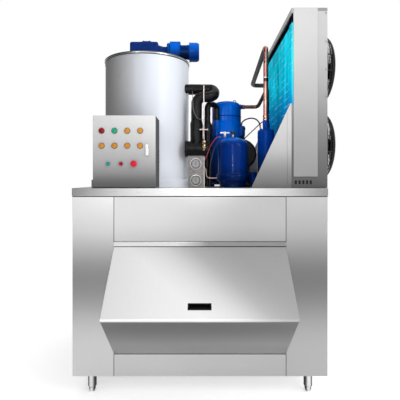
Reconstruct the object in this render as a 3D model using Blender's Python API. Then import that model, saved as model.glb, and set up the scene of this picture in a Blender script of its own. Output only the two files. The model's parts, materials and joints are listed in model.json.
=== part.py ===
# Free-standing flake ice machine: insulated bin below, drum evaporator and condensing set on its deck.
# Metres, Z up. Cabinet coordinates: X across from the middle, Y back from the front panels,
# Z from the floor.
import math

import bmesh
import bpy
from mathutils import Matrix, Vector
from mathutils.geometry import interpolate_bezier

for leftover in list(bpy.data.objects):
    bpy.data.objects.remove(leftover, do_unlink=True)

# Clearances
GAP = 0.0003
RUNNING = 0.0006

# Bin
BIN_WIDTH = 1.500
BIN_DEPTH = 1.100
BODY_HEIGHT = 1.058
SLAB_THICKNESS = 0.048
SLAB_OVERHANG = 0.003
WALL = 0.060
FLOOR_THICKNESS = 0.060
FRONT_PANEL = 0.050
DOORWAY_WIDTH = 1.012
UPPER_PANEL_HEIGHT = 0.2665
LOWER_PANEL_HEIGHT = 0.131
RAIL_HEIGHT = 0.0285
RAIL_PROUD = 0.008
NOSE_REACH = 0.330
NOSE_HEIGHT = 0.451
HOOD_WALL = 0.028
PANEL_EDGE = 0.004

# Door in the sloping face
DOOR_THICKNESS = 0.030
LINER_DEPTH = 0.012
LINER_MARGIN = 0.008
PULL_WIDTH = 0.123
PULL_HEIGHT = 0.037
PULL_DEPTH = 0.022
PULL_FLANGE = 0.005
PULL_WALL = 0.0025
PULL_FROM_EDGE = 0.071

# Legs
LEG_HEIGHT = 0.135
LEG_INSET = 0.092
SLEEVE_RADIUS = 0.0265
FOOT_HEIGHT = 0.0324
FOOT_RADIUS = 0.0205
FOOT_PAD_RADIUS = 0.012
STEM_RADIUS = 0.010
STEM_LENGTH = 0.060

# Drum evaporator
DRUM_X = -0.381
DRUM_Y = 0.522
DRUM_RADIUS = 0.295
DRUM_WALL = 0.045
DRUM_HEIGHT = 0.882
BASE_RING_HEIGHT = 0.050
BASE_RING_PROUD = 0.011
LID_THICKNESS = 0.018
LID_PROUD = 0.006
ICE_FALL_RADIUS = 0.235
SHAFT_RADIUS = 0.025
HUB_RADIUS = 0.040
SPIDER_ARM_WIDTH = 0.030
SPIDER_ARM_HEIGHT = 0.022
BLADE_CLEARANCE = 0.004
BLADE_THICKNESS = 0.010
BLADE_WIDTH = 0.034
BLADE_TOOTH_PITCH = 0.050
BLADE_TOOTH_DEPTH = 0.010
BLADE_ENDS = 0.030
ROTOR_ARM_HEIGHTS = (0.16, 0.42, 0.68)
ROTOR_ARM_SIZE = 0.028
SPRAY_PAN_RADIUS = 0.085
SPRAY_PAN_HEIGHT = 0.030
SPRAY_ARM_RADIUS = 0.008

# Gearmotor
GEARBOX_LENGTH = 0.200
GEARBOX_WIDTH = 0.160
GEARBOX_HEIGHT = 0.148
GEARBOX_SHIFT = -0.016
MOTOR_AXIS_HEIGHT = 0.082
MOTOR_START = 0.146
MOTOR_FLANGE_THICKNESS = 0.012
MOTOR_FLANGE_RADIUS = 0.066
MOTOR_NECK_RADIUS = 0.040
MOTOR_BODY_RADIUS = 0.050
MOTOR_BODY_LENGTH = 0.154
MOTOR_FIN_COUNT = 12
MOTOR_FIN_DEPTH = 0.006
COWL_RADIUS = 0.070
COWL_LENGTH = 0.072
TERMINAL_BOX_SIZE = 0.072
TERMINAL_BOX_HEIGHT = 0.066

# Control box
CASE_LEFT = -0.6316
CASE_WIDTH = 0.369
CASE_HEIGHT = 0.4275
CASE_FRONT = 0.005
CASE_DEPTH = 0.200
CASE_SHEET = 0.004
CASE_FOOT = 0.0045
DOOR_PAN_DEPTH = 0.020
LAMP_RADIUS = 0.015
LAMP_PROUD = 0.010
LAMP_PITCH = 0.0756
LAMP_FIRST = 0.0524
LAMP_ROWS = (0.3374, 0.2491)
LAMP_COLUMNS = 4
BUTTON_ROW = 0.1426
BUTTON_FIRST = 0.0912
BUTTON_PITCH = 0.0762
BUTTON_RADIUS = 0.0115
BUTTON_PROUD = 0.011
BUTTON_STEM_RADIUS = 0.006
BUTTON_TRAVEL = 0.004
BEZEL_WALL = 0.0035
BEZEL_PROUD = 0.006
MUSHROOM_RADIUS = 0.0195
MUSHROOM_PROUD = 0.026
MUSHROOM_TRAVEL = 0.006
LATCH_WIDTH = 0.0236
LATCH_HEIGHT = 0.0725
LATCH_FROM_RIGHT = 0.0494
LATCH_MIDDLE = 0.2248
LATCH_PROUD = 0.006
LOUVRE_COUNT = 6
LOUVRE_LENGTH = 0.026
LOUVRE_HEIGHT = 0.006
LOUVRE_BOTTOM = 0.106
LOUVRE_PITCH = 0.0225
LOUVRE_Y = 0.170

# Gauge panel
GAUGE_PANEL_LEFT = -0.0728
GAUGE_PANEL_WIDTH = 0.0965
GAUGE_PANEL_HEIGHT = 0.194
GAUGE_PANEL_Y = 0.060
GAUGE_PANEL_FLANGE = 0.022
SHEET = 0.003
GAUGE_RADIUS = 0.0295
GAUGE_BODY_RADIUS = 0.026
GAUGE_BODY_DEPTH = 0.028
GAUGE_PROUD = 0.010
GAUGE_X = -0.0255
GAUGE_HEIGHTS = (0.1446, 0.0457)
DIAL_DEPTH = 0.006
NEEDLE_LENGTH = 0.018

# Compressor
COMPRESSOR_X = 0.192
COMPRESSOR_Y = 0.600
COMPRESSOR_RADIUS = 0.134
COMPRESSOR_CAP_RADIUS = 0.107
COMPRESSOR_HEIGHT = 0.623
COMPRESSOR_SEAM = 0.5255
COMPRESSOR_SHOULDER = 0.408
COMPRESSOR_FOOT_HEIGHT = 0.030
COMPRESSOR_FOOT_SPAN = 0.270
LIFTING_EYE_RADIUS = 0.014
SUCTION_STUB_RADIUS = 0.022
SUCTION_STUB_TOP = 0.470
SUCTION_STUB_X = -0.0764
SUCTION_STUB_Y = -0.1077
DISCHARGE_STUB_LENGTH = 0.012
OIL_BOSS_X = 0.103
OIL_BOSS_Y = -0.095
OIL_BOSS_TOP = 0.430
OIL_BOSS_RADIUS = 0.0125
DISCHARGE_HEIGHT = 0.585

# Receiver in front of the compressor
RECEIVER_X = 0.210
RECEIVER_Y = 0.220
RECEIVER_RADIUS = 0.0956
RECEIVER_HEIGHT = 0.321
RECEIVER_SHOULDER = 0.280
RECEIVER_GROOVE = 0.082
RECEIVER_RING_RADIUS = 0.107
RECEIVER_RING_HEIGHT = 0.046
RECEIVER_FOOT_RADIUS = 0.083
RECEIVER_FOOT_HEIGHT = 0.020
VALVE_RADIUS = 0.009
VALVE_TOP = 0.338
VALVE_SPACING = 0.052
KNOB_RADIUS = 0.014
KNOB_HEIGHT = 0.022
KNOB_STEM_RADIUS = 0.004
KNOB_STEM_LENGTH = 0.012

# Suction accumulator lying front to back on a cradle
ACCUMULATOR_X = 0.278
ACCUMULATOR_Y = 0.335
ACCUMULATOR_LENGTH = 0.120
ACCUMULATOR_RADIUS = 0.102
ACCUMULATOR_HEIGHT = 0.221
CRADLE_WIDTH = 0.130
CRADLE_LENGTH = 0.080
CRADLE_TAPER = 0.8

# Oil separator
SEPARATOR_X = 0.443
SEPARATOR_Y = 0.350
SEPARATOR_RADIUS = 0.056
SEPARATOR_HEIGHT = 0.3865
SEPARATOR_NECK_RADIUS = 0.0215
SEPARATOR_NECK_TOP = 0.448
SEPARATOR_INLET_X = 0.016
SEPARATOR_INLET_Y = 0.036
SEPARATOR_INLET_TOP = 0.405

# Filter drier
DRIER_X = 0.345
DRIER_Y = 0.270
DRIER_RADIUS = 0.026
DRIER_BOTTOM = 0.022
DRIER_TOP = 0.100
DRIER_FOOT_RADIUS = 0.014

# Heat exchanger in foam, and its pipes
EXCHANGER_Y = 0.345
EXCHANGER_LEFT = -0.105
EXCHANGER_RIGHT = 0.060
EXCHANGER_HEIGHT = 0.262
EXCHANGER_RADIUS = 0.046
EXCHANGER_HEAD_RADIUS = 0.052
EXCHANGER_HEAD_LENGTH = 0.022
INLET_COLUMN_X = -0.026
INLET_COLUMN_RADIUS = 0.0425
OUTLET_COLUMN_X = 0.0489
OUTLET_COLUMN_Y = 0.420
OUTLET_COLUMN_RADIUS = 0.031
COLUMN_TOP = 0.452
COLUMN_SHOULDER = 0.010
LINK_RADIUS = 0.028
SUCTION_HEIGHT = 0.672
SUCTION_Y = 0.440
SUCTION_RADIUS = 0.033
SUCTION_REACH = 0.095
SUCTION_RETURN_Y = 0.360
SUCTION_RETURN_HEIGHT = 0.608
SUCTION_BEND = 0.045
NOZZLE_REACH = 0.310
ARCH_TOP = 0.568
ARCH_RADIUS = 0.019
ARCH_BEND = 0.044
EXPANSION_X = 0.0229
EXPANSION_STANDOFF = 0.006
EXPANSION_TUBE_RADIUS = 0.004
EXPANSION_BODY_RADIUS = 0.0155
EXPANSION_BODY_BOTTOM = 0.240
EXPANSION_BODY_TOP = 0.318
EXPANSION_PORT_RADIUS = 0.009
STOP_VALVE_HEIGHT = 0.378
STOP_VALVE_SPAN = 0.032

# Copper pipes
RISER_RADIUS = 0.0175
RISER_TOP = 0.951
RISER_BEND = 0.045
RISER_BACK_X = 0.427
RISER_BACK_INSET = 0.022
RISER_BACK_HEIGHT = 0.828
DISCHARGE_RADIUS = 0.0135
DISCHARGE_TURN_X = 0.423
DISCHARGE_PEAK = 0.675
DISCHARGE_BEND = 0.030
OIL_TUBE_RADIUS = 0.005
CAPILLARY_RADIUS = 0.0035
# A brazed socket's and a flare nut's radius, in pipe radii
SOCKET_SWELL = 1.2
NUT_SWELL = 1.8
# A smooth bend's Bezier handles, as a share of the chord between the neighbouring points
HANDLE_SHARE = 1 / 6

# Condenser
CONDENSER_LEFT = 0.545
CONDENSER_FRONT = 0.030
CONDENSER_DEPTH = 0.950
CONDENSER_HEIGHT = 1.073
CASE_PLATE = 0.004
POST_WIDTH = 0.026
REAR_POST_WIDTH = 0.042
TOP_FLANGE = 0.045
BOTTOM_FLANGE = 0.060
COIL_THICKNESS = 0.100
COIL_FINS = 20
FIN_GROOVE_DEPTH = 0.018
COVER_LEFT = 0.010
COVER_WIDTH = 0.144
COVER_BOTTOM = 0.067
COVER_THICKNESS = 0.006
TUBE_HOLE_RADIUS = 0.0075
TUBE_HOLES = 5
FAN_HEIGHTS = (0.285, 0.822)
FAN_OPENING_RADIUS = 0.200
SHROUD_RADIUS = 0.222
SHROUD_DEPTH = 0.060
SHROUD_WALL = 0.006
GUARD_PROUD = 0.200
GUARD_SPOKES = 6
GUARD_RINGS = 3
GUARD_WIRE = 0.005
FAN_MOTOR_RADIUS = 0.052
FAN_MOTOR_LENGTH = 0.090
FAN_BLADES = 5
FAN_RADIUS = 0.190
FAN_HUB_RADIUS = 0.040
FAN_HUB_LENGTH = 0.036
FAN_SHAFT_RADIUS = 0.007
GUSSET_REACH = 0.239
GUSSET_HEIGHT = 0.504
GUSSET_FLANGE = 0.024

# Heights and planes that follow from the sizes above
BIN_BOTTOM = LEG_HEIGHT
BODY_TOP = BIN_BOTTOM + BODY_HEIGHT
DECK = BODY_TOP + SLAB_THICKNESS
HALF_WIDTH = BIN_WIDTH / 2
HALF_DOORWAY = DOORWAY_WIDTH / 2
BACK_WALL_FRONT = BIN_DEPTH - WALL
RAIL_BOTTOM = BODY_TOP - UPPER_PANEL_HEIGHT - RAIL_HEIGHT
DRUM_TOP = DECK + DRUM_HEIGHT
MOTOR_AXIS = DRUM_TOP + MOTOR_AXIS_HEIGHT
CONDENSER_RIGHT = HALF_WIDTH
CONDENSER_BACK = CONDENSER_FRONT + CONDENSER_DEPTH
RISER_BACK_Y = CONDENSER_BACK - RISER_BACK_INSET
FAN_Y = CONDENSER_FRONT + CONDENSER_DEPTH / 2
EXPANSION_PORT_FACE = EXCHANGER_Y - EXCHANGER_RADIUS - EXPANSION_STANDOFF / 2
EXPANSION_Y = EXPANSION_PORT_FACE - EXPANSION_STANDOFF / 2 - EXPANSION_BODY_RADIUS

# The door's outer face, as (Y, Z): it runs from the hinge line down to the nose edge
HINGE = Vector((-(RAIL_PROUD + GAP), RAIL_BOTTOM - GAP))
NOSE_EDGE = Vector((-NOSE_REACH, BIN_BOTTOM + NOSE_HEIGHT))
DOOR_LENGTH = (NOSE_EDGE - HINGE).length
DOOR_TILT = math.atan2(NOSE_EDGE.x - HINGE.x, HINGE.y - NOSE_EDGE.y)
INWARD = Vector((math.cos(DOOR_TILT), math.sin(DOOR_TILT)))
DOOR_EDGE = PANEL_EDGE / 2

# The part's own origin is the middle of its footprint, on the floor
FOOTPRINT_LEFT = -(HALF_WIDTH + SLAB_OVERHANG)
FOOTPRINT_RIGHT = CONDENSER_RIGHT + GUARD_PROUD
FOOTPRINT_FRONT = NOSE_EDGE.x + INWARD.x * DOOR_EDGE
FOOTPRINT_BACK = BIN_DEPTH + SLAB_OVERHANG
cabinet = bpy.data.objects.new("cabinet_frame", None)
bpy.context.collection.objects.link(cabinet)
cabinet.location = (
    -(FOOTPRINT_LEFT + FOOTPRINT_RIGHT) / 2,
    -(FOOTPRINT_FRONT + FOOTPRINT_BACK) / 2,
    0.0,
)


def finish(name, colour, roughness, metallic=0.0):
    material = bpy.data.materials.new(name)
    material.use_nodes = True
    shader = material.node_tree.nodes["Principled BSDF"]
    shader.inputs["Base Color"].default_value = (*colour, 1.0)
    shader.inputs["Roughness"].default_value = roughness
    shader.inputs["Metallic"].default_value = metallic
    return material


BRUSHED_STEEL = finish("brushed_steel", (0.62, 0.63, 0.64), 0.35, 1.0)
GALVANISED = finish("galvanised", (0.55, 0.57, 0.58), 0.45, 1.0)
CHROME = finish("chrome", (0.80, 0.81, 0.82), 0.12, 1.0)
BRASS = finish("brass", (0.72, 0.52, 0.22), 0.35, 1.0)
COPPER = finish("copper", (0.72, 0.36, 0.25), 0.35, 1.0)
WHITE_ENAMEL = finish("white_enamel", (0.80, 0.82, 0.88), 0.35)
LIGHT_ENAMEL = finish("light_enamel", (0.74, 0.75, 0.77), 0.40)
BLUE_PAINT = finish("blue_paint", (0.01, 0.14, 0.62), 0.30)
CYAN_FINS = finish("cyan_fins", (0.01, 0.45, 0.62), 0.40, 0.5)
BLACK_FOAM = finish("black_foam", (0.015, 0.015, 0.017), 0.75)
BLACK_PLASTIC = finish("black_plastic", (0.02, 0.02, 0.02), 0.45)
RED_PLASTIC = finish("red_plastic", (0.75, 0.02, 0.02), 0.30)
GREEN_PLASTIC = finish("green_plastic", (0.01, 0.35, 0.28), 0.30)


def place(name, mesh, material, origin=(0.0, 0.0, 0.0), turn=(0.0, 0.0, 0.0)):
    """Adds one piece, its mesh given about its own origin, at a place in the cabinet."""
    mesh.name = name
    mesh.materials.clear()
    mesh.materials.append(material)
    piece = bpy.data.objects.new(name, mesh)
    bpy.context.collection.objects.link(piece)
    piece.parent = cabinet
    piece.location = origin
    piece.rotation_euler = turn
    return piece


def to_mesh(shape):
    bmesh.ops.recalc_face_normals(shape, faces=shape.faces)
    mesh = bpy.data.meshes.new("shape")
    shape.to_mesh(mesh)
    shape.free()
    return mesh


def block(x0, x1, y0, y1, z0, z1, edge=0.0, along=None):
    """A box between six planes; its edges, or only those that run along one axis, may be chamfered."""
    shape = bmesh.new()
    bmesh.ops.create_cube(shape, size=1.0)
    bmesh.ops.scale(shape, vec=(x1 - x0, y1 - y0, z1 - z0), verts=shape.verts)
    bmesh.ops.translate(shape, vec=((x0 + x1) / 2, (y0 + y1) / 2, (z0 + z1) / 2), verts=shape.verts)
    if edge:
        chosen = list(shape.edges)
        if along is not None:
            chosen = [e for e in chosen if abs((e.verts[0].co - e.verts[1].co)[along]) > 1e-6]
        bmesh.ops.bevel(
            shape, geom=chosen, offset=edge, segments=1, profile=0.5, affect="EDGES", material=-1
        )
    return to_mesh(shape)


def prism(outline, axis, start, end):
    """A closed outline pushed along one axis; its points are given in the two other axes, in order."""
    shape = bmesh.new()
    corners = []
    for point in outline:
        place_at = list(point)
        place_at.insert(axis, start)
        corners.append(shape.verts.new(place_at))
    face = shape.faces.new(corners)
    pushed = bmesh.ops.extrude_face_region(shape, geom=[face])
    moved = [v for v in pushed["geom"] if isinstance(v, bmesh.types.BMVert)]
    shift = Vector((0.0, 0.0, 0.0))
    shift[axis] = end - start
    bmesh.ops.translate(shape, vec=shift, verts=moved)
    return to_mesh(shape)


def turned(profile, segments, axis=2, centre=(0.0, 0.0, 0.0)):
    """A profile of (radius, height) points spun once about an axis through the centre."""
    shape = bmesh.new()
    corners = [shape.verts.new((radius, 0.0, height)) for radius, height in profile]
    for first, second in zip(corners, corners[1:]):
        shape.edges.new((first, second))
    if profile[0][0] > 0.0 or profile[-1][0] > 0.0:
        shape.edges.new((corners[-1], corners[0]))
    bmesh.ops.spin(
        shape,
        geom=list(shape.verts) + list(shape.edges),
        cent=(0.0, 0.0, 0.0),
        axis=(0.0, 0.0, 1.0),
        angle=2 * math.pi,
        steps=segments,
        use_merge=True,
    )
    bmesh.ops.remove_doubles(shape, verts=shape.verts, dist=1e-6)
    turn = {0: Matrix.Rotation(math.pi / 2, 4, "Y"), 1: Matrix.Rotation(-math.pi / 2, 4, "X")}
    if axis in turn:
        bmesh.ops.transform(shape, matrix=turn[axis], verts=shape.verts)
    bmesh.ops.translate(shape, vec=centre, verts=shape.verts)
    return to_mesh(shape)


def combine(operation, base, *tools):
    """Joins tool meshes to a base mesh, or cuts them from it, and gives the new mesh."""
    first = bpy.data.objects.new("base", base)
    bpy.context.collection.objects.link(first)
    helpers = []
    for number, tool in enumerate(tools):
        helper = bpy.data.objects.new(f"tool_{number}", tool)
        bpy.context.collection.objects.link(helper)
        modifier = first.modifiers.new(f"{operation}_{number}", "BOOLEAN")
        modifier.operation = operation
        modifier.solver = "EXACT"
        modifier.object = helper
        helpers.append(helper)
    depsgraph = bpy.context.evaluated_depsgraph_get()
    result = bpy.data.meshes.new_from_object(first.evaluated_get(depsgraph))
    for used in [first, *helpers]:
        bpy.data.objects.remove(used, do_unlink=True)
    return result


def fuse(base, *tools):
    return combine("UNION", base, *tools)


def carve(base, *tools):
    return combine("DIFFERENCE", base, *tools)


def smooth(piece, angle=35.0):
    """Shades a round piece smooth, with its real edges kept sharp."""
    piece.data.shade_smooth()
    piece.data.set_sharp_from_angle(angle=math.radians(angle))
    return piece


def rounded_route(points, bend):
    """Points along a pipe's centre line, each inner corner replaced by an arc of the given radius."""
    corners = [Vector(p) for p in points]
    route = [corners[0]]
    for before, corner, after in zip(corners, corners[1:], corners[2:]):
        come = (before - corner).normalized()
        leave = (after - corner).normalized()
        half = come.angle(leave) / 2
        reach = bend / math.tan(half)
        middle = corner + (come + leave).normalized() * (bend / math.sin(half))
        start = corner + come * reach - middle
        turn_axis = start.cross(corner + leave * reach - middle)
        sweep = math.pi - 2 * half
        steps = max(2, round(sweep / math.radians(30.0)))
        for step in range(steps + 1):
            route.append(middle + Matrix.Rotation(sweep * step / steps, 3, turn_axis) @ start)
    route.append(corners[-1])
    return route


def pipe(points, bend, radius, sides=12):
    """A round pipe with flat ends along a route, as a mesh."""
    route = rounded_route(points, bend)
    shape = bmesh.new()
    rings = []
    across = (route[1] - route[0]).orthogonal().normalized()
    for number, point in enumerate(route):
        before = route[max(number - 1, 0)]
        after = route[min(number + 1, len(route) - 1)]
        along = (after - before).normalized()
        across = (across - along * across.dot(along)).normalized()
        up = along.cross(across)
        ring = []
        for side in range(sides):
            angle = 2 * math.pi * side / sides
            reach = across * math.cos(angle) + up * math.sin(angle)
            ring.append(shape.verts.new(point + reach * radius))
        rings.append(ring)
    for lower, upper in zip(rings, rings[1:]):
        for side in range(sides):
            following = (side + 1) % sides
            shape.faces.new((lower[side], lower[following], upper[following], upper[side]))
    shape.faces.new(list(reversed(rings[0])))
    shape.faces.new(rings[-1])
    return to_mesh(shape)


def ring_points(count, radius, phase=0.0):
    """Places evenly round a circle, as (x, y) pairs."""
    angles = [phase + 2 * math.pi * number / count for number in range(count)]
    return [(radius * math.cos(a), radius * math.sin(a)) for a in angles]


def cylinder(radius, start, end, segments, axis=2, centre=(0.0, 0.0, 0.0)):
    return turned([(0.0, start), (radius, start), (radius, end), (0.0, end)], segments, axis, centre)


# Bin: insulated panels round the ice, butted together under the slab
def side_wall(name, side):
    outline = [
        (side * HALF_WIDTH, 0.0),
        (side * HALF_DOORWAY, 0.0),
        (side * HALF_DOORWAY, FRONT_PANEL),
        (side * (HALF_WIDTH - WALL), FRONT_PANEL),
        (side * (HALF_WIDTH - WALL), BACK_WALL_FRONT - GAP),
        (side * HALF_WIDTH, BACK_WALL_FRONT - GAP),
    ]
    place(name, prism(outline, 2, BIN_BOTTOM, BODY_TOP - GAP), BRUSHED_STEEL)


def bin_body():
    side_wall("bin_left_wall", -1)
    side_wall("bin_right_wall", 1)
    back = block(
        -HALF_WIDTH, HALF_WIDTH, BACK_WALL_FRONT, BIN_DEPTH, BIN_BOTTOM, BODY_TOP - GAP, PANEL_EDGE, 2
    )
    place("bin_back_wall", back, BRUSHED_STEEL)

    across = HALF_DOORWAY - GAP
    upper_bottom = RAIL_BOTTOM + RAIL_HEIGHT
    place(
        "upper_front_panel",
        block(-across, across, 0.0, FRONT_PANEL, upper_bottom + GAP, BODY_TOP - GAP),
        BRUSHED_STEEL,
    )
    place(
        "hinge_rail",
        block(-across, across, -RAIL_PROUD, FRONT_PANEL, RAIL_BOTTOM, upper_bottom, RAIL_PROUD / 3, 0),
        BRUSHED_STEEL,
    )
    place(
        "lower_front_panel",
        block(-across, across, 0.0, FRONT_PANEL, BIN_BOTTOM, BIN_BOTTOM + LOWER_PANEL_HEIGHT),
        BRUSHED_STEEL,
    )


def leg_places():
    left = -(HALF_WIDTH - LEG_INSET)
    back = BIN_DEPTH - LEG_INSET
    return {
        "front_left": (left, LEG_INSET),
        "front_right": (-left, LEG_INSET),
        "rear_left": (left, back),
        "rear_right": (-left, back),
    }


def bin_floor_and_feet():
    across = HALF_WIDTH - WALL - GAP
    top = BIN_BOTTOM + FLOOR_THICKNESS
    slab = block(-across, across, FRONT_PANEL + GAP, BACK_WALL_FRONT - GAP, BIN_BOTTOM, top)
    bore = STEM_RADIUS + RUNNING
    chamfer = SLEEVE_RADIUS - FOOT_RADIUS
    sleeve = [
        (bore, FOOT_HEIGHT),
        (FOOT_RADIUS, FOOT_HEIGHT),
        (SLEEVE_RADIUS, FOOT_HEIGHT + chamfer),
        (SLEEVE_RADIUS, BIN_BOTTOM + FLOOR_THICKNESS / 2),
        (bore, BIN_BOTTOM + FLOOR_THICKNESS / 2),
    ]
    sleeves = [turned(sleeve, 12, 2, (x, y, 0.0)) for x, y in leg_places().values()]
    place("bin_floor", fuse(slab, *sleeves), BRUSHED_STEEL)

    height = FOOT_HEIGHT - GAP
    foot = [
        (0.0, -height),
        (FOOT_PAD_RADIUS, -height),
        (FOOT_RADIUS * 0.85, -height * 0.72),
        (FOOT_RADIUS, -height * 0.35),
        (FOOT_RADIUS, 0.0),
        (STEM_RADIUS, 0.0),
        (STEM_RADIUS, STEM_LENGTH),
        (0.0, STEM_LENGTH),
    ]
    for corner, (x, y) in leg_places().items():
        smooth(place(f"levelling_foot_{corner}", turned(foot, 10), BRUSHED_STEEL, (x, y, height)))


def top_plate():
    edge = SLAB_OVERHANG
    slab = block(
        -HALF_WIDTH - edge, HALF_WIDTH + edge, -edge, BIN_DEPTH + edge, BODY_TOP, DECK - GAP, edge
    )
    hole = cylinder(ICE_FALL_RADIUS, BODY_TOP - edge, DECK + edge, 28, 2, (DRUM_X, DRUM_Y, 0.0))
    place("top_plate", carve(slab, hole), BRUSHED_STEEL)


# Sloping door on the projecting nose
def nose_hood():
    tip = NOSE_EDGE + INWARD * (DOOR_THICKNESS + GAP)
    heel = Vector((0.0, BIN_BOTTOM + LOWER_PANEL_HEIGHT + GAP))
    under_door = HINGE + INWARD * (DOOR_THICKNESS + GAP)
    up_slope = (HINGE - NOSE_EDGE).normalized()
    top = RAIL_BOTTOM - GAP
    crest = under_door + up_slope * ((top - under_door.y) / up_slope.y)
    outside = [tip, heel, (FRONT_PANEL, heel.y), (FRONT_PANEL, top), crest]
    across = HALF_DOORWAY - GAP
    hood = prism(outside, 0, -across, across)

    down = (heel - tip).normalized()
    inner_tip = tip + Vector((-down.y, down.x)) * HOOD_WALL
    sill = heel.y + HOOD_WALL
    inner_heel = inner_tip + down * ((sill - inner_tip.y) / down.y)
    past_door = inner_tip - down * NOSE_REACH / 2
    past_back = FRONT_PANEL + WALL
    inside = [past_door, inner_heel, (past_back, sill), (past_back, RAIL_BOTTOM + WALL)]
    hollow = prism(inside, 0, -across + HOOD_WALL, across - HOOD_WALL)
    place("nose_hood", carve(hood, hollow), BRUSHED_STEEL)


def bin_door():
    across = HALF_DOORWAY - RUNNING
    panel = block(-across, across, 0.0, DOOR_THICKNESS, -DOOR_LENGTH, 0.0, DOOR_EDGE)
    inset = HOOD_WALL + LINER_MARGIN
    liner = block(
        inset - HALF_DOORWAY,
        HALF_DOORWAY - inset,
        DOOR_THICKNESS / 2,
        DOOR_THICKNESS + LINER_DEPTH,
        inset - DOOR_LENGTH,
        -inset * 2,
        LINER_DEPTH / 2,
    )
    middle = PULL_FROM_EDGE - DOOR_LENGTH
    half_width = PULL_WIDTH / 2 - PULL_FLANGE
    half_height = PULL_HEIGHT / 2 - PULL_FLANGE
    pocket = block(
        -half_width - GAP,
        half_width + GAP,
        -PULL_DEPTH,
        PULL_DEPTH + GAP,
        middle - half_height - GAP,
        middle + half_height + GAP,
    )
    door = carve(fuse(panel, liner), pocket)
    hinge_at = (0.0, HINGE.x, HINGE.y)
    turn = (DOOR_TILT, 0.0, 0.0)
    place("bin_door", door, BRUSHED_STEEL, hinge_at, turn)

    flange = PULL_WALL
    cup = block(
        -half_width, half_width, -GAP - flange / 2, PULL_DEPTH, middle - half_height, middle + half_height
    )
    rim = block(
        -PULL_WIDTH / 2,
        PULL_WIDTH / 2,
        -GAP - flange,
        -GAP,
        middle - PULL_HEIGHT / 2,
        middle + PULL_HEIGHT / 2,
        flange / 3,
        1,
    )
    scoop = block(
        -half_width + PULL_WALL,
        half_width - PULL_WALL,
        -PULL_DEPTH,
        PULL_DEPTH - PULL_WALL,
        middle - half_height + PULL_WALL,
        middle + half_height - PULL_WALL,
    )
    place("door_pull", carve(fuse(cup, rim), scoop), BLACK_PLASTIC, hinge_at, turn)


bin_body()
bin_floor_and_feet()
top_plate()
nose_hood()
bin_door()


# Drum evaporator: everything here is measured from the drum's axis at deck level
DRUM_AT = (DRUM_X, DRUM_Y, DECK)
DRUM_BORE = DRUM_RADIUS - DRUM_WALL
BLADE_TIP = DRUM_BORE - BLADE_CLEARANCE
SHAFT_BORE = SHAFT_RADIUS + RUNNING
SHAFT_SIDES = 16
DRUM_SIDES = 32


def swung(mesh, angle):
    mesh.transform(Matrix.Rotation(angle, 4, "Z"))
    return mesh


def drum_base_ring():
    outer = DRUM_RADIUS + BASE_RING_PROUD
    top = BASE_RING_HEIGHT
    ring = turned(
        [
            (ICE_FALL_RADIUS, 0.0),
            (outer, 0.0),
            (outer, top - BASE_RING_PROUD),
            (DRUM_RADIUS, top),
            (ICE_FALL_RADIUS, top),
        ],
        DRUM_SIDES,
    )
    arms = []
    for number in range(3):
        arm = block(
            0.0,
            ICE_FALL_RADIUS + BASE_RING_PROUD,
            -SPIDER_ARM_WIDTH / 2,
            SPIDER_ARM_WIDTH / 2,
            SPIDER_ARM_HEIGHT / 2,
            SPIDER_ARM_HEIGHT * 1.5,
        )
        arms.append(swung(arm, math.radians(30 + 120 * number)))
    hub = cylinder(HUB_RADIUS, 0.0, SPIDER_ARM_HEIGHT * 2, SHAFT_SIDES)
    bore = cylinder(SHAFT_BORE, -top, top * 2, SHAFT_SIDES)
    smooth(place("drum_base_ring", carve(fuse(ring, *arms, hub), bore), WHITE_ENAMEL, DRUM_AT))


def drum_shell():
    bottom = BASE_RING_HEIGHT + GAP
    top = DRUM_HEIGHT - LID_THICKNESS - GAP
    flange = top - LID_PROUD * 2
    wall = turned(
        [
            (DRUM_BORE, bottom),
            (DRUM_RADIUS, bottom),
            (DRUM_RADIUS, flange),
            (DRUM_RADIUS + LID_PROUD / 2, flange),
            (DRUM_RADIUS + LID_PROUD / 2, top),
            (DRUM_BORE, top),
        ],
        DRUM_SIDES,
    )
    nozzle_root = DRUM_RADIUS - DRUM_WALL * 0.85
    nozzle_at = (0.0, SUCTION_Y - DRUM_Y, SUCTION_HEIGHT)
    nozzle = cylinder(SUCTION_RADIUS, nozzle_root, NOZZLE_REACH, 20, 0, nozzle_at)
    smooth(place("drum_shell", fuse(wall, nozzle), WHITE_ENAMEL, DRUM_AT))


def drum_lid():
    outer = DRUM_RADIUS + LID_PROUD
    bottom = DRUM_HEIGHT - LID_THICKNESS
    lip = LID_PROUD / 2
    lid = turned(
        [
            (SHAFT_BORE, bottom),
            (outer, bottom),
            (outer, DRUM_HEIGHT - lip),
            (outer - lip, DRUM_HEIGHT),
            (SHAFT_BORE, DRUM_HEIGHT),
        ],
        DRUM_SIDES,
    )
    smooth(place("drum_lid", lid, WHITE_ENAMEL, DRUM_AT))


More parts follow.
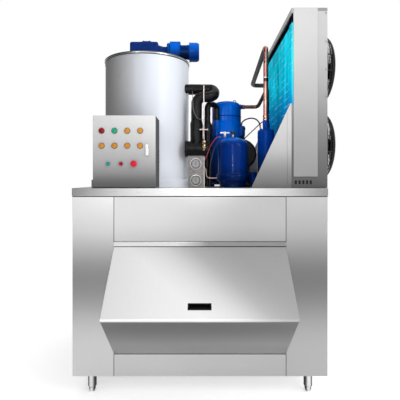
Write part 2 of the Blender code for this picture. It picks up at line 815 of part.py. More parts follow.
def ice_rotor():
    arm_end = BLADE_TIP - BLADE_WIDTH - GAP
    hub_top = SPIDER_ARM_HEIGHT * 2
    shaft_top = DRUM_HEIGHT + GEARBOX_HEIGHT / 2
    collar = SHAFT_RADIUS * 1.4
    shaft = turned(
        [
            (0.0, GAP),
            (SHAFT_RADIUS, GAP),
            (SHAFT_RADIUS, hub_top + GAP),
            (collar, hub_top + GAP),
            (collar, hub_top + SHAFT_RADIUS),
            (SHAFT_RADIUS, hub_top + SHAFT_RADIUS),
            (SHAFT_RADIUS, shaft_top),
            (0.0, shaft_top),
        ],
        SHAFT_SIDES,
    )
    additions = []
    half = ROTOR_ARM_SIZE / 2
    for height in ROTOR_ARM_HEIGHTS:
        additions.append(block(-half, half, 0.0, arm_end, height - half, height + half, half / 4, 1))
        pad = ROTOR_ARM_SIZE
        additions.append(block(-half, half, arm_end - half, arm_end, height - pad, height + pad))
    pan_bottom = DRUM_HEIGHT - LID_THICKNESS - SPRAY_PAN_HEIGHT * 2
    pan_wall = SPRAY_ARM_RADIUS / 2
    additions.append(
        turned(
            [
                (0.0, pan_bottom),
                (SPRAY_PAN_RADIUS, pan_bottom),
                (SPRAY_PAN_RADIUS, pan_bottom + SPRAY_PAN_HEIGHT),
                (SPRAY_PAN_RADIUS - pan_wall, pan_bottom + SPRAY_PAN_HEIGHT),
                (SPRAY_PAN_RADIUS - pan_wall, pan_bottom + pan_wall),
                (0.0, pan_bottom + pan_wall),
            ],
            16,
        )
    )
    for side in (-1, 1):
        spray = cylinder(
            SPRAY_ARM_RADIUS,
            SPRAY_PAN_RADIUS - pan_wall / 2,
            arm_end,
            6,
            0,
            (0.0, 0.0, pan_bottom + SPRAY_PAN_HEIGHT / 2),
        )
        additions.append(swung(spray, 0.0 if side > 0 else math.pi))
    smooth(place("rotor_shaft", fuse(shaft, *additions), GALVANISED, DRUM_AT))

    bottom = BASE_RING_HEIGHT + BLADE_ENDS
    top = pan_bottom - BLADE_ENDS / 2
    teeth = round((top - bottom) / BLADE_TOOTH_PITCH)
    pitch = (top - bottom) / teeth
    root = BLADE_TIP - BLADE_TOOTH_DEPTH
    outline = [(BLADE_TIP - BLADE_WIDTH, bottom)]
    for tooth in range(teeth):
        foot = bottom + tooth * pitch
        outline.append((root, foot))
        outline.append((BLADE_TIP, foot + pitch * 0.25))
        outline.append((BLADE_TIP, foot + pitch * 0.75))
    outline.append((root, top))
    outline.append((BLADE_TIP - BLADE_WIDTH, top))
    blade = prism(outline, 0, -BLADE_THICKNESS / 2, BLADE_THICKNESS / 2)
    place("scraper_blade", blade, GALVANISED, DRUM_AT)


def gearmotor():
    left = GEARBOX_SHIFT - GEARBOX_LENGTH / 2
    right = GEARBOX_SHIFT + GEARBOX_LENGTH / 2
    half = GEARBOX_WIDTH / 2
    rim = GEARBOX_HEIGHT / 12
    body = block(left, right, -half, half, rim, GEARBOX_HEIGHT - rim, rim * 0.8)
    seat = cylinder(half * 1.15, GAP, rim * 1.5, 16)
    cover = cylinder(half * 0.8, GEARBOX_HEIGHT - rim * 1.5, GEARBOX_HEIGHT - rim / 2, 16)
    neck = cylinder(
        MOTOR_NECK_RADIUS, right - rim, MOTOR_START, 16, 0, (0.0, 0.0, MOTOR_AXIS_HEIGHT)
    )
    bolts = [
        cylinder(rim / 2, GEARBOX_HEIGHT - rim * 0.9, GEARBOX_HEIGHT, 6, 2, (x, y, 0.0))
        for x, y in ring_points(4, half * 0.65, math.pi / 4)
    ]
    bore = cylinder(SHAFT_BORE, -rim, GEARBOX_HEIGHT / 2 + rim, SHAFT_SIDES)
    gearbox = carve(fuse(body, seat, cover, neck, *bolts), bore)
    smooth(place("gearbox", gearbox, BLUE_PAINT, (DRUM_X, DRUM_Y, DRUM_TOP)))

    motor_at = (DRUM_X + MOTOR_START, DRUM_Y, MOTOR_AXIS)
    outline = []
    step = 2 * math.pi / MOTOR_FIN_COUNT
    outer = MOTOR_BODY_RADIUS
    inner = outer - MOTOR_FIN_DEPTH
    for fin in range(MOTOR_FIN_COUNT):
        for share, radius in ((0.0, inner), (0.4, inner), (0.5, outer), (0.9, outer)):
            angle = (fin + share) * step
            outline.append((radius * math.cos(angle), radius * math.sin(angle)))
    length = MOTOR_BODY_LENGTH
    finned = prism(outline, 0, MOTOR_FLANGE_THICKNESS / 2, length - GAP)
    flange = cylinder(MOTOR_FLANGE_RADIUS, GAP, MOTOR_FLANGE_THICKNESS, 18, 0)
    box_start = MOTOR_FLANGE_THICKNESS + MOTOR_FIN_DEPTH
    box_half = TERMINAL_BOX_SIZE * 0.42
    terminal = block(
        box_start, box_start + TERMINAL_BOX_SIZE, -box_half, box_half, inner / 2, TERMINAL_BOX_HEIGHT, 0.003
    )
    smooth(place("motor_body", fuse(finned, flange, terminal), BLUE_PAINT, motor_at), 25.0)

    lip = COWL_RADIUS / 10
    cowl = turned(
        [
            (0.0, length),
            (COWL_RADIUS - lip / 2, length),
            (COWL_RADIUS, length + lip),
            (COWL_RADIUS, length + COWL_LENGTH - lip * 1.5),
            (COWL_RADIUS - lip * 1.5, length + COWL_LENGTH),
            (COWL_RADIUS * 0.3, length + COWL_LENGTH),
            (COWL_RADIUS * 0.3, length + COWL_LENGTH - lip / 2),
            (0.0, length + COWL_LENGTH - lip / 2),
        ],
        16,
        0,
    )
    smooth(place("motor_cowl", cowl, BLUE_PAINT, motor_at), 50.0)


drum_base_ring()
drum_shell()
drum_lid()
ice_rotor()
gearmotor()


# Control box: an open case on a mounting strip, closed by a hinged pan that carries lamps and buttons
CASE_AT = (CASE_LEFT, CASE_FRONT, DECK)
CASE_INSIDE_FRONT = DOOR_PAN_DEPTH + GAP
PAN_SHEET = CASE_SHEET * 0.75
BUTTON_X = [BUTTON_FIRST + BUTTON_PITCH * number for number in range(3)]
LATCH_X = CASE_WIDTH - LATCH_FROM_RIGHT
LATCH_FRAME = LATCH_WIDTH / 8


def control_case():
    tab = CASE_FOOT * 3
    strip = [
        (-tab, 0.0),
        (CASE_WIDTH, 0.0),
        (CASE_WIDTH, CASE_FOOT),
        (-GAP, CASE_FOOT),
        (-GAP, CASE_FOOT * 11),
        (-tab, CASE_FOOT * 11),
    ]
    place("control_mount", prism(strip, 1, CASE_INSIDE_FRONT, CASE_DEPTH), GALVANISED, CASE_AT)

    bottom = CASE_FOOT + GAP
    case = block(0.0, CASE_WIDTH, CASE_INSIDE_FRONT, CASE_DEPTH, bottom, CASE_HEIGHT)
    inside = block(
        CASE_SHEET,
        CASE_WIDTH - CASE_SHEET,
        0.0,
        CASE_DEPTH - CASE_SHEET,
        bottom + CASE_SHEET,
        CASE_HEIGHT - CASE_SHEET,
    )
    louvre_y = LOUVRE_Y - CASE_FRONT
    slots = []
    for number in range(LOUVRE_COUNT):
        base = LOUVRE_BOTTOM + number * LOUVRE_PITCH
        slots.append(
            block(
                CASE_WIDTH - CASE_SHEET * 2,
                CASE_WIDTH + CASE_SHEET,
                louvre_y - LOUVRE_LENGTH / 2,
                louvre_y + LOUVRE_LENGTH / 2,
                base,
                base + LOUVRE_HEIGHT,
            )
        )
    place("control_case", carve(carve(case, inside), *slots), LIGHT_ENAMEL, CASE_AT)

    inset = CASE_SHEET * 5
    back = CASE_DEPTH - CASE_SHEET - GAP
    plate = block(inset, CASE_WIDTH - inset, back - PAN_SHEET, back, inset, CASE_HEIGHT - inset)
    rail_height = CASE_HEIGHT * 0.62
    rail = block(inset * 2, CASE_WIDTH - inset * 2, back - PAN_SHEET * 4, back - PAN_SHEET / 2,
                 rail_height - inset, rail_height + inset)
    relay_width = CASE_WIDTH / 6
    relays = [
        block(
            inset * 2.5 + number * relay_width * 1.2,
            inset * 2.5 + number * relay_width * 1.2 + relay_width,
            CASE_DEPTH * 0.6,
            back - PAN_SHEET * 2,
            rail_height - relay_width * 0.7,
            rail_height + relay_width * 0.7,
        )
        for number in range(4)
    ]
    terminals = block(inset * 2, CASE_WIDTH - inset * 2, back - inset * 2, back - PAN_SHEET / 2,
                      inset * 3, inset * 5)
    place("relay_plate", fuse(plate, rail, *relays, terminals), GALVANISED, CASE_AT)


def bezel(x, bore, z):
    outer = bore + BEZEL_WALL
    ring = [(bore, -BEZEL_PROUD), (outer, -BEZEL_PROUD), (outer, PAN_SHEET / 2), (bore, PAN_SHEET / 2)]
    return turned(ring, 12, 1, (x, 0.0, z))


def control_door():
    bottom = CASE_FOOT + GAP
    pan = block(0.0, CASE_WIDTH, 0.0, DOOR_PAN_DEPTH, bottom, CASE_HEIGHT, CASE_SHEET / 2, 2)
    hollow = block(
        CASE_SHEET,
        CASE_WIDTH - CASE_SHEET,
        PAN_SHEET,
        DOOR_PAN_DEPTH * 2,
        bottom + CASE_SHEET,
        CASE_HEIGHT - CASE_SHEET,
    )
    lamp = [
        (0.0, -LAMP_PROUD),
        (LAMP_RADIUS * 0.9, -LAMP_PROUD * 0.7),
        (LAMP_RADIUS, PAN_SHEET / 2),
        (0.0, PAN_SHEET / 2),
    ]
    fitted = []
    for row in LAMP_ROWS:
        for column in range(LAMP_COLUMNS):
            fitted.append(turned(lamp, 8, 1, (LAMP_FIRST + LAMP_PITCH * column, 0.0, row)))
    button_bore = BUTTON_RADIUS + RUNNING
    fitted.append(bezel(BUTTON_X[0], button_bore, BUTTON_ROW))
    fitted.append(bezel(BUTTON_X[1], button_bore, BUTTON_ROW))
    fitted.append(bezel(BUTTON_X[2], button_bore, BUTTON_ROW))
    fitted.append(
        block(
            LATCH_X - LATCH_WIDTH / 2,
            LATCH_X + LATCH_WIDTH / 2,
            -LATCH_PROUD,
            PAN_SHEET / 2,
            LATCH_MIDDLE - LATCH_HEIGHT / 2,
            LATCH_MIDDLE + LATCH_HEIGHT / 2,
            LATCH_FRAME / 3,
            1,
        )
    )
    stem_bore = BUTTON_STEM_RADIUS + RUNNING
    cuts = [
        cylinder(stem_bore, -PAN_SHEET, PAN_SHEET * 2, 12, 1, (BUTTON_X[0], 0.0, BUTTON_ROW)),
        cylinder(stem_bore, -PAN_SHEET, PAN_SHEET * 2, 12, 1, (BUTTON_X[1], 0.0, BUTTON_ROW)),
        cylinder(button_bore, -PAN_SHEET, PAN_SHEET * 2, 12, 1, (BUTTON_X[2], 0.0, BUTTON_ROW)),
        block(
            LATCH_X - LATCH_WIDTH / 2 + LATCH_FRAME,
            LATCH_X + LATCH_WIDTH / 2 - LATCH_FRAME,
            -LATCH_PROUD * 2,
            -GAP,
            LATCH_MIDDLE - LATCH_HEIGHT / 2 + LATCH_FRAME,
            LATCH_MIDDLE + LATCH_HEIGHT / 2 - LATCH_FRAME,
        ),
    ]
    door = carve(fuse(carve(pan, hollow), *fitted), *cuts)
    smooth(place("control_door", door, LIGHT_ENAMEL, CASE_AT), 30.0)


def buttons():
    cap_back = -(BUTTON_TRAVEL + GAP)
    cap = [
        (0.0, -BUTTON_PROUD),
        (BUTTON_RADIUS * 0.85, -BUTTON_PROUD),
        (BUTTON_RADIUS, -BUTTON_PROUD * 0.88),
        (BUTTON_RADIUS, cap_back),
        (BUTTON_STEM_RADIUS, cap_back),
        (BUTTON_STEM_RADIUS, DOOR_PAN_DEPTH),
        (0.0, DOOR_PAN_DEPTH),
    ]
    for name, x, colour in (
        ("start_button", BUTTON_X[0], GREEN_PLASTIC),
        ("stop_button", BUTTON_X[1], RED_PLASTIC),
    ):
        at = (CASE_LEFT + x, CASE_FRONT, DECK + BUTTON_ROW)
        smooth(place(name, turned(cap, 12, 1), colour, at))

    skirt = -(BEZEL_PROUD + MUSHROOM_TRAVEL + GAP)
    mushroom = [
        (0.0, -MUSHROOM_PROUD),
        (MUSHROOM_RADIUS * 0.6, -MUSHROOM_PROUD * 0.97),
        (MUSHROOM_RADIUS * 0.9, -MUSHROOM_PROUD * 0.85),
        (MUSHROOM_RADIUS, (skirt - MUSHROOM_PROUD) / 2),
        (MUSHROOM_RADIUS * 0.85, skirt),
        (BUTTON_RADIUS, skirt),
        (BUTTON_RADIUS, DOOR_PAN_DEPTH),
        (0.0, DOOR_PAN_DEPTH),
    ]
    at = (CASE_LEFT + BUTTON_X[2], CASE_FRONT, DECK + BUTTON_ROW)
    smooth(place("emergency_button", turned(mushroom, 12, 1), RED_PLASTIC, at))


def latch_lever():
    inset = LATCH_FRAME + GAP
    half = LATCH_WIDTH / 2 - inset
    length = LATCH_HEIGHT - inset * 2
    thickness = LATCH_PROUD - GAP
    lever = block(-half, half, 0.0, thickness - GAP, -length, 0.0, LATCH_FRAME / 4, 2)
    at = (CASE_LEFT + LATCH_X, CASE_FRONT - LATCH_PROUD, DECK + LATCH_MIDDLE + LATCH_HEIGHT / 2 - inset)
    place("latch_lever", lever, CHROME, at)


# Gauge panel: a folded sheet standing on the deck with two round gauges
def gauges():
    left = GAUGE_PANEL_LEFT
    front = GAUGE_PANEL_Y
    folded = [
        (front, 0.0),
        (front + GAUGE_PANEL_FLANGE, 0.0),
        (front + GAUGE_PANEL_FLANGE, SHEET),
        (front + SHEET, SHEET),
        (front + SHEET, GAUGE_PANEL_HEIGHT),
        (front, GAUGE_PANEL_HEIGHT),
    ]
    panel = prism(folded, 0, left, left + GAUGE_PANEL_WIDTH)
    holes = [
        cylinder(GAUGE_BODY_RADIUS + GAP, 0.0, front + GAUGE_PANEL_FLANGE, 14, 1, (GAUGE_X, 0.0, height))
        for height in GAUGE_HEIGHTS
    ]
    place("gauge_panel", carve(panel, *holes), GALVANISED, (0.0, 0.0, DECK))

    dial = DIAL_DEPTH - GAUGE_PROUD
    rim = GAUGE_RADIUS * 0.88
    case = [
        (0.0, dial),
        (rim, dial),
        (rim, -GAUGE_PROUD),
        (GAUGE_RADIUS, -GAUGE_PROUD),
        (GAUGE_RADIUS, -GAP),
        (GAUGE_BODY_RADIUS, -GAP),
        (GAUGE_BODY_RADIUS, GAUGE_BODY_DEPTH),
        (0.0, GAUGE_BODY_DEPTH),
    ]
    thickness = DIAL_DEPTH / 6
    tail = NEEDLE_LENGTH * 0.3
    half = NEEDLE_LENGTH / 16
    pointer = [(-half * 2, -tail), (half * 2, -tail), (half / 2, NEEDLE_LENGTH), (-half / 2, NEEDLE_LENGTH)]
    for name, height in zip(("upper", "lower"), GAUGE_HEIGHTS):
        at = (GAUGE_X, front, DECK + height)
        smooth(place(f"gauge_{name}", turned(case, 14, 1), GALVANISED, at))
        needle = prism(pointer, 1, dial - thickness * 3, dial - thickness * 2)
        pin = cylinder(half * 2.5, dial - thickness * 3.5, dial - GAP, 8, 1)
        place(f"gauge_needle_{name}", fuse(needle, pin), BLACK_PLASTIC, at)


control_case()
control_door()
buttons()
latch_lever()
gauges()


# Refrigeration set on the deck
def on_deck(x, y):
    return (x, y, DECK)


def compressor():
    radius = COMPRESSOR_RADIUS
    cap = COMPRESSOR_CAP_RADIUS
    foot = COMPRESSOR_FOOT_HEIGHT
    ridge = COMPRESSOR_CAP_RADIUS / 36
    neck = COMPRESSOR_SHOULDER + (radius - cap) * 2
    crown = COMPRESSOR_HEIGHT - cap / 2
    body = turned(
        [
            (0.0, foot),
            (radius * 0.9, foot),
            (radius, foot * 1.5),
            (radius, COMPRESSOR_SHOULDER),
            (cap, neck),
            (cap, COMPRESSOR_SEAM - ridge),
            (cap + ridge, COMPRESSOR_SEAM),
            (cap, COMPRESSOR_SEAM + ridge),
            (cap, crown),
            (cap * 0.86, COMPRESSOR_HEIGHT - cap * 0.2),
            (cap * 0.55, COMPRESSOR_HEIGHT - cap * 0.05),
            (0.0, COMPRESSOR_HEIGHT),
        ],
        24,
    )
    half = COMPRESSOR_FOOT_SPAN / 2
    plate = block(-half, half, -half, half, foot * 0.8, foot * 1.05, half * 0.3, 2)
    pads = [
        cylinder(foot * 0.7, 0.0, foot * 0.9, 8, 2, (x, y, 0.0))
        for x, y in ring_points(4, half * 1.2, math.pi / 4)
    ]
    suction = cylinder(
        SUCTION_STUB_RADIUS,
        COMPRESSOR_SHOULDER - radius / 3,
        SUCTION_STUB_TOP,
        10,
        2,
        (SUCTION_STUB_X, SUCTION_STUB_Y, 0.0),
    )
    discharge = cylinder(
        DISCHARGE_RADIUS * 1.3, cap * 0.6, cap + DISCHARGE_STUB_LENGTH, 10, 0, (0.0, 0.0, DISCHARGE_HEIGHT)
    )
    oil_boss = cylinder(
        OIL_BOSS_RADIUS,
        COMPRESSOR_SHOULDER - radius / 2,
        OIL_BOSS_TOP,
        8,
        2,
        (OIL_BOSS_X, OIL_BOSS_Y, 0.0),
    )
    wire = LIFTING_EYE_RADIUS / 3
    eye_at = (cap * 0.55, -wire / 2, COMPRESSOR_HEIGHT - cap * 0.05 + wire)
    inner = LIFTING_EYE_RADIUS - wire
    eye = turned(
        [(inner, 0.0), (LIFTING_EYE_RADIUS, 0.0), (LIFTING_EYE_RADIUS, wire), (inner, wire)], 8, 1, eye_at
    )
    mesh = fuse(body, plate, *pads, suction, discharge, oil_boss, eye)
    smooth(place("compressor", mesh, BLUE_PAINT, on_deck(COMPRESSOR_X, COMPRESSOR_Y)))


def receiver():
    radius = RECEIVER_RADIUS
    ring = RECEIVER_RING_RADIUS
    groove = (ring - radius) / 2
    top = RECEIVER_HEIGHT
    tank = turned(
        [
            (0.0, 0.0),
            (RECEIVER_FOOT_RADIUS, 0.0),
            (RECEIVER_FOOT_RADIUS, RECEIVER_FOOT_HEIGHT * 0.7),
            (ring, RECEIVER_RING_HEIGHT),
            (ring, RECEIVER_GROOVE - groove),
            (radius - groove / 2, RECEIVER_GROOVE),
            (radius, RECEIVER_GROOVE + groove),
            (radius, RECEIVER_SHOULDER),
            (radius * 0.86, top - (top - RECEIVER_SHOULDER) * 0.45),
            (radius * 0.50, top - (top - RECEIVER_SHOULDER) * 0.12),
            (0.0, top),
        ],
        24,
    )
    bodies = []
    bores = []
    for x in (-VALVE_SPACING, 0.0):
        bodies.append(cylinder(VALVE_RADIUS, RECEIVER_SHOULDER, VALVE_TOP, 8, 2, (x, 0.0, 0.0)))
        bore_floor = VALVE_TOP - KNOB_STEM_LENGTH - GAP
        bores.append(cylinder(KNOB_STEM_RADIUS + RUNNING, bore_floor, VALVE_TOP * 2, 8, 2, (x, 0, 0)))
    outlet_at = (-VALVE_SPACING, 0.0, capillary_height())
    outlet = cylinder(
        CAPILLARY_RADIUS * 1.5, -VALVE_RADIUS * 2.5, -VALVE_RADIUS / 2, 6, 0, outlet_at
    )
    mesh = carve(fuse(tank, *bodies, outlet), *bores)
    smooth(place("receiver", mesh, BLUE_PAINT, on_deck(RECEIVER_X, RECEIVER_Y)))

    knob = [
        (0.0, -KNOB_STEM_LENGTH),
        (KNOB_STEM_RADIUS, -KNOB_STEM_LENGTH),
        (KNOB_STEM_RADIUS, GAP),
        (KNOB_RADIUS * 0.9, GAP),
        (KNOB_RADIUS, KNOB_HEIGHT * 0.25),
        (KNOB_RADIUS, KNOB_HEIGHT * 0.75),
        (KNOB_RADIUS * 0.8, KNOB_HEIGHT),
        (0.0, KNOB_HEIGHT),
    ]
    for name, x, colour in (
        ("liquid_valve_knob", -VALVE_SPACING, CHROME),
        ("relief_valve_knob", 0.0, BLACK_PLASTIC),
    ):
        at = (RECEIVER_X + x, RECEIVER_Y, DECK + VALVE_TOP)
        smooth(place(name, turned(knob, 10), colour, at))


def capillary_height():
    return (RECEIVER_HEIGHT + VALVE_TOP - KNOB_STEM_LENGTH) / 2


def accumulator():
    radius = ACCUMULATOR_RADIUS
    length = ACCUMULATOR_LENGTH
    soft = radius * 0.12
    shell = turned(
        [
            (0.0, 0.0),
            (radius - soft, 0.0),
            (radius, soft),
            (radius, length - soft),
            (radius - soft, length),
            (0.0, length),
        ],
        20,
        1,
        (0.0, 0.0, ACCUMULATOR_HEIGHT),
    )
    inset = (length - CRADLE_LENGTH) / 2
    half = CRADLE_WIDTH / 2
    half_top = half * CRADLE_TAPER
    cradle_top = ACCUMULATOR_HEIGHT * CRADLE_TAPER
    cradle = prism(
        [(-half, 0.0), (half, 0.0), (half_top, cradle_top), (-half_top, cradle_top)],
        1,
        inset,
        length - inset,
    )
    mesh = fuse(shell, cradle)
    smooth(place("suction_accumulator", mesh, BLACK_FOAM, on_deck(ACCUMULATOR_X, ACCUMULATOR_Y)))


def oil_separator():
    radius = SEPARATOR_RADIUS
    neck = SEPARATOR_NECK_RADIUS
    top = SEPARATOR_HEIGHT
    soft = radius / 8
    body = turned(
        [
            (0.0, 0.0),
            (radius - soft, 0.0),
            (radius, soft),
            (radius, top - soft),
            (radius - soft, top),
            (neck, top),
            (neck, SEPARATOR_NECK_TOP),
            (0.0, SEPARATOR_NECK_TOP),
        ],
        16,
    )
    inlet = cylinder(
        DISCHARGE_RADIUS * SOCKET_SWELL,
        top - soft * 2,
        SEPARATOR_INLET_TOP,
        8,
        2,
        (SEPARATOR_INLET_X, SEPARATOR_INLET_Y, 0.0),
    )
    nut_radius = OIL_TUBE_RADIUS * NUT_SWELL
    oil = cylinder(nut_radius, top - soft * 2, top + soft, 8, 2, (-oil_port_offset(), 0.0, 0.0))
    mesh = fuse(body, inlet, oil)
    smooth(place("oil_separator", mesh, BLUE_PAINT, on_deck(SEPARATOR_X, SEPARATOR_Y)))


def oil_port_offset():
    return (SEPARATOR_RADIUS + SEPARATOR_NECK_RADIUS) / 2


def filter_drier():
    soft = DRIER_RADIUS / 3
    capsule = turned(
        [
            (0.0, 0.0),
            (DRIER_FOOT_RADIUS, 0.0),
            (DRIER_FOOT_RADIUS, DRIER_BOTTOM),
            (DRIER_RADIUS - soft, DRIER_BOTTOM),
            (DRIER_RADIUS, DRIER_BOTTOM + soft),
            (DRIER_RADIUS, DRIER_TOP - soft),
            (DRIER_RADIUS - soft, DRIER_TOP),
            (0.0, DRIER_TOP),
        ],
        12,
    )
    smooth(place("filter_drier", capsule, BLUE_PAINT, on_deck(DRIER_X, DRIER_Y)))


def heat_exchanger():
    axis = (0.0, EXCHANGER_Y, EXCHANGER_HEIGHT)
    left = EXCHANGER_LEFT
    barrel = cylinder(EXCHANGER_RADIUS, left + EXCHANGER_HEAD_LENGTH / 2, EXCHANGER_RIGHT, 14, 0, axis)
    head = cylinder(EXCHANGER_HEAD_RADIUS, left, left + EXCHANGER_HEAD_LENGTH, 14, 0, axis)
    columns = []
    for radius, x, y, neck in (
        (INLET_COLUMN_RADIUS, INLET_COLUMN_X, EXCHANGER_Y, SUCTION_RADIUS),
        (OUTLET_COLUMN_RADIUS, OUTLET_COLUMN_X, OUTLET_COLUMN_Y, ARCH_RADIUS),
    ):
        shoulder = COLUMN_TOP - COLUMN_SHOULDER * 2
        column = [
            (0.0, EXCHANGER_HEIGHT - LINK_RADIUS / 4),
            (radius, EXCHANGER_HEIGHT - LINK_RADIUS / 4),
            (radius, shoulder),
            (neck, COLUMN_TOP),
            (0.0, COLUMN_TOP),
        ]
        columns.append(turned(column, 14, 2, (x, y, 0.0)))
    link_at = (OUTLET_COLUMN_X - LINK_RADIUS / 4, 0.0, EXCHANGER_HEIGHT)
    link = cylinder(LINK_RADIUS, EXCHANGER_Y, OUTLET_COLUMN_Y, 10, 1, link_at)
    port = cylinder(
        EXPANSION_PORT_RADIUS,
        EXPANSION_PORT_FACE,
        EXCHANGER_Y,
        10,
        1,
        (EXPANSION_X, 0.0, EXCHANGER_HEIGHT),
    )
    mesh = fuse(barrel, head, *columns, link, port)
    smooth(place("heat_exchanger", mesh, BLACK_FOAM, (0.0, 0.0, DECK)))


compressor()
receiver()
accumulator()
oil_separator()
filter_drier()
heat_exchanger()


def curved(points, steps):
    """A smooth line through the given points, straight in its first and last stretch, as more points."""
    knots = [Vector(p) for p in points]
    line = [knots[0]]
    for a, b, c, d in zip(knots, knots[1:], knots[2:], knots[3:]):
        out_of_b = b + (c - a) * HANDLE_SHARE
        into_c = c - (d - b) * HANDLE_SHARE
        line += interpolate_bezier(b, out_of_b, into_c, c, steps + 1)[:-1]
    line += knots[-2:]
    return line


def thin_tube(name, points, radius, material):
    """A bent capillary: a curve with a round bevel and closed ends."""
    curve = bpy.data.curves.new(name, "CURVE")
    curve.dimensions = "3D"
    curve.bevel_depth = radius
    curve.bevel_resolution = 1
    curve.use_fill_caps = True
    spline = curve.splines.new("POLY")
    spline.points.add(len(points) - 1)
    for knot, point in zip(spline.points, points):
        knot.co = (*point, 1.0)
    curve.materials.append(material)
    tube = bpy.data.objects.new(name, curve)
    bpy.context.collection.objects.link(tube)
    tube.parent = cabinet
    tube.location = (0.0, 0.0, DECK)


def suction_pipes():
    start = (DRUM_X + NOZZLE_REACH + GAP, SUCTION_Y, SUCTION_HEIGHT)
    route = [
        start,
        (SUCTION_REACH, SUCTION_Y, SUCTION_HEIGHT),
        (SUCTION_REACH, SUCTION_RETURN_Y, SUCTION_RETURN_HEIGHT),
        (INLET_COLUMN_X, EXCHANGER_Y, SUCTION_RETURN_HEIGHT - SUCTION_RADIUS / 3),
        (INLET_COLUMN_X, EXCHANGER_Y, COLUMN_TOP + GAP),
    ]
    mesh = pipe(route, SUCTION_BEND, SUCTION_RADIUS, 12)
    smooth(place("suction_pipe", mesh, BLACK_FOAM, (0.0, 0.0, DECK)), 50.0)

    stub_x = COMPRESSOR_X + SUCTION_STUB_X
    stub_y = COMPRESSOR_Y + SUCTION_STUB_Y
    arch = [
        (OUTLET_COLUMN_X, OUTLET_COLUMN_Y, COLUMN_TOP + GAP),
        (OUTLET_COLUMN_X, OUTLET_COLUMN_Y, ARCH_TOP),
        (stub_x, stub_y, ARCH_TOP),
        (stub_x, stub_y, SUCTION_STUB_TOP + GAP),
    ]
    mesh = pipe(arch, ARCH_BEND, ARCH_RADIUS, 10)
    smooth(place("compressor_suction_pipe", mesh, BLACK_FOAM, (0.0, 0.0, DECK)), 50.0)


def expansion_valve():
    x = EXPANSION_X
    y = EXPANSION_Y
    body = turned(
        [
            (0.0, EXPANSION_BODY_BOTTOM),
            (EXPANSION_BODY_RADIUS, EXPANSION_BODY_BOTTOM),
            (EXPANSION_BODY_RADIUS, EXPANSION_BODY_TOP - EXPANSION_PORT_RADIUS),
            (EXPANSION_TUBE_RADIUS, EXPANSION_BODY_TOP),
            (0.0, EXPANSION_BODY_TOP),
        ],
        8,
        2,
        (x, y, 0.0),
    )
    port = cylinder(EXPANSION_PORT_RADIUS, y, EXPANSION_PORT_FACE - GAP, 10, 1, (x, 0.0, EXCHANGER_HEIGHT))
    tube = pipe(
        [
            (x, y, EXPANSION_BODY_TOP - EXPANSION_PORT_RADIUS),
            (x, y, SUCTION_HEIGHT),
            (x, SUCTION_Y - SUCTION_RADIUS - GAP, SUCTION_HEIGHT),
        ],
        EXPANSION_TUBE_RADIUS * 4,
        EXPANSION_TUBE_RADIUS,
        6,
    )
    handle_at = (0.0, y, STOP_VALVE_HEIGHT)
    half_span = STOP_VALVE_SPAN / 2
    handle = cylinder(EXPANSION_TUBE_RADIUS * SOCKET_SWELL, x - half_span, x + half_span, 6, 0, handle_at)
    stem_start = STOP_VALVE_HEIGHT - EXPANSION_BODY_RADIUS
    stem_end = STOP_VALVE_HEIGHT + EXPANSION_BODY_RADIUS
    stem = cylinder(EXPANSION_TUBE_RADIUS * 2, stem_start, stem_end, 6, 2, (x, y, 0.0))
    mesh = fuse(body, port, tube, handle, stem)
    smooth(place("expansion_valve", mesh, BRASS, (0.0, 0.0, DECK)), 45.0)


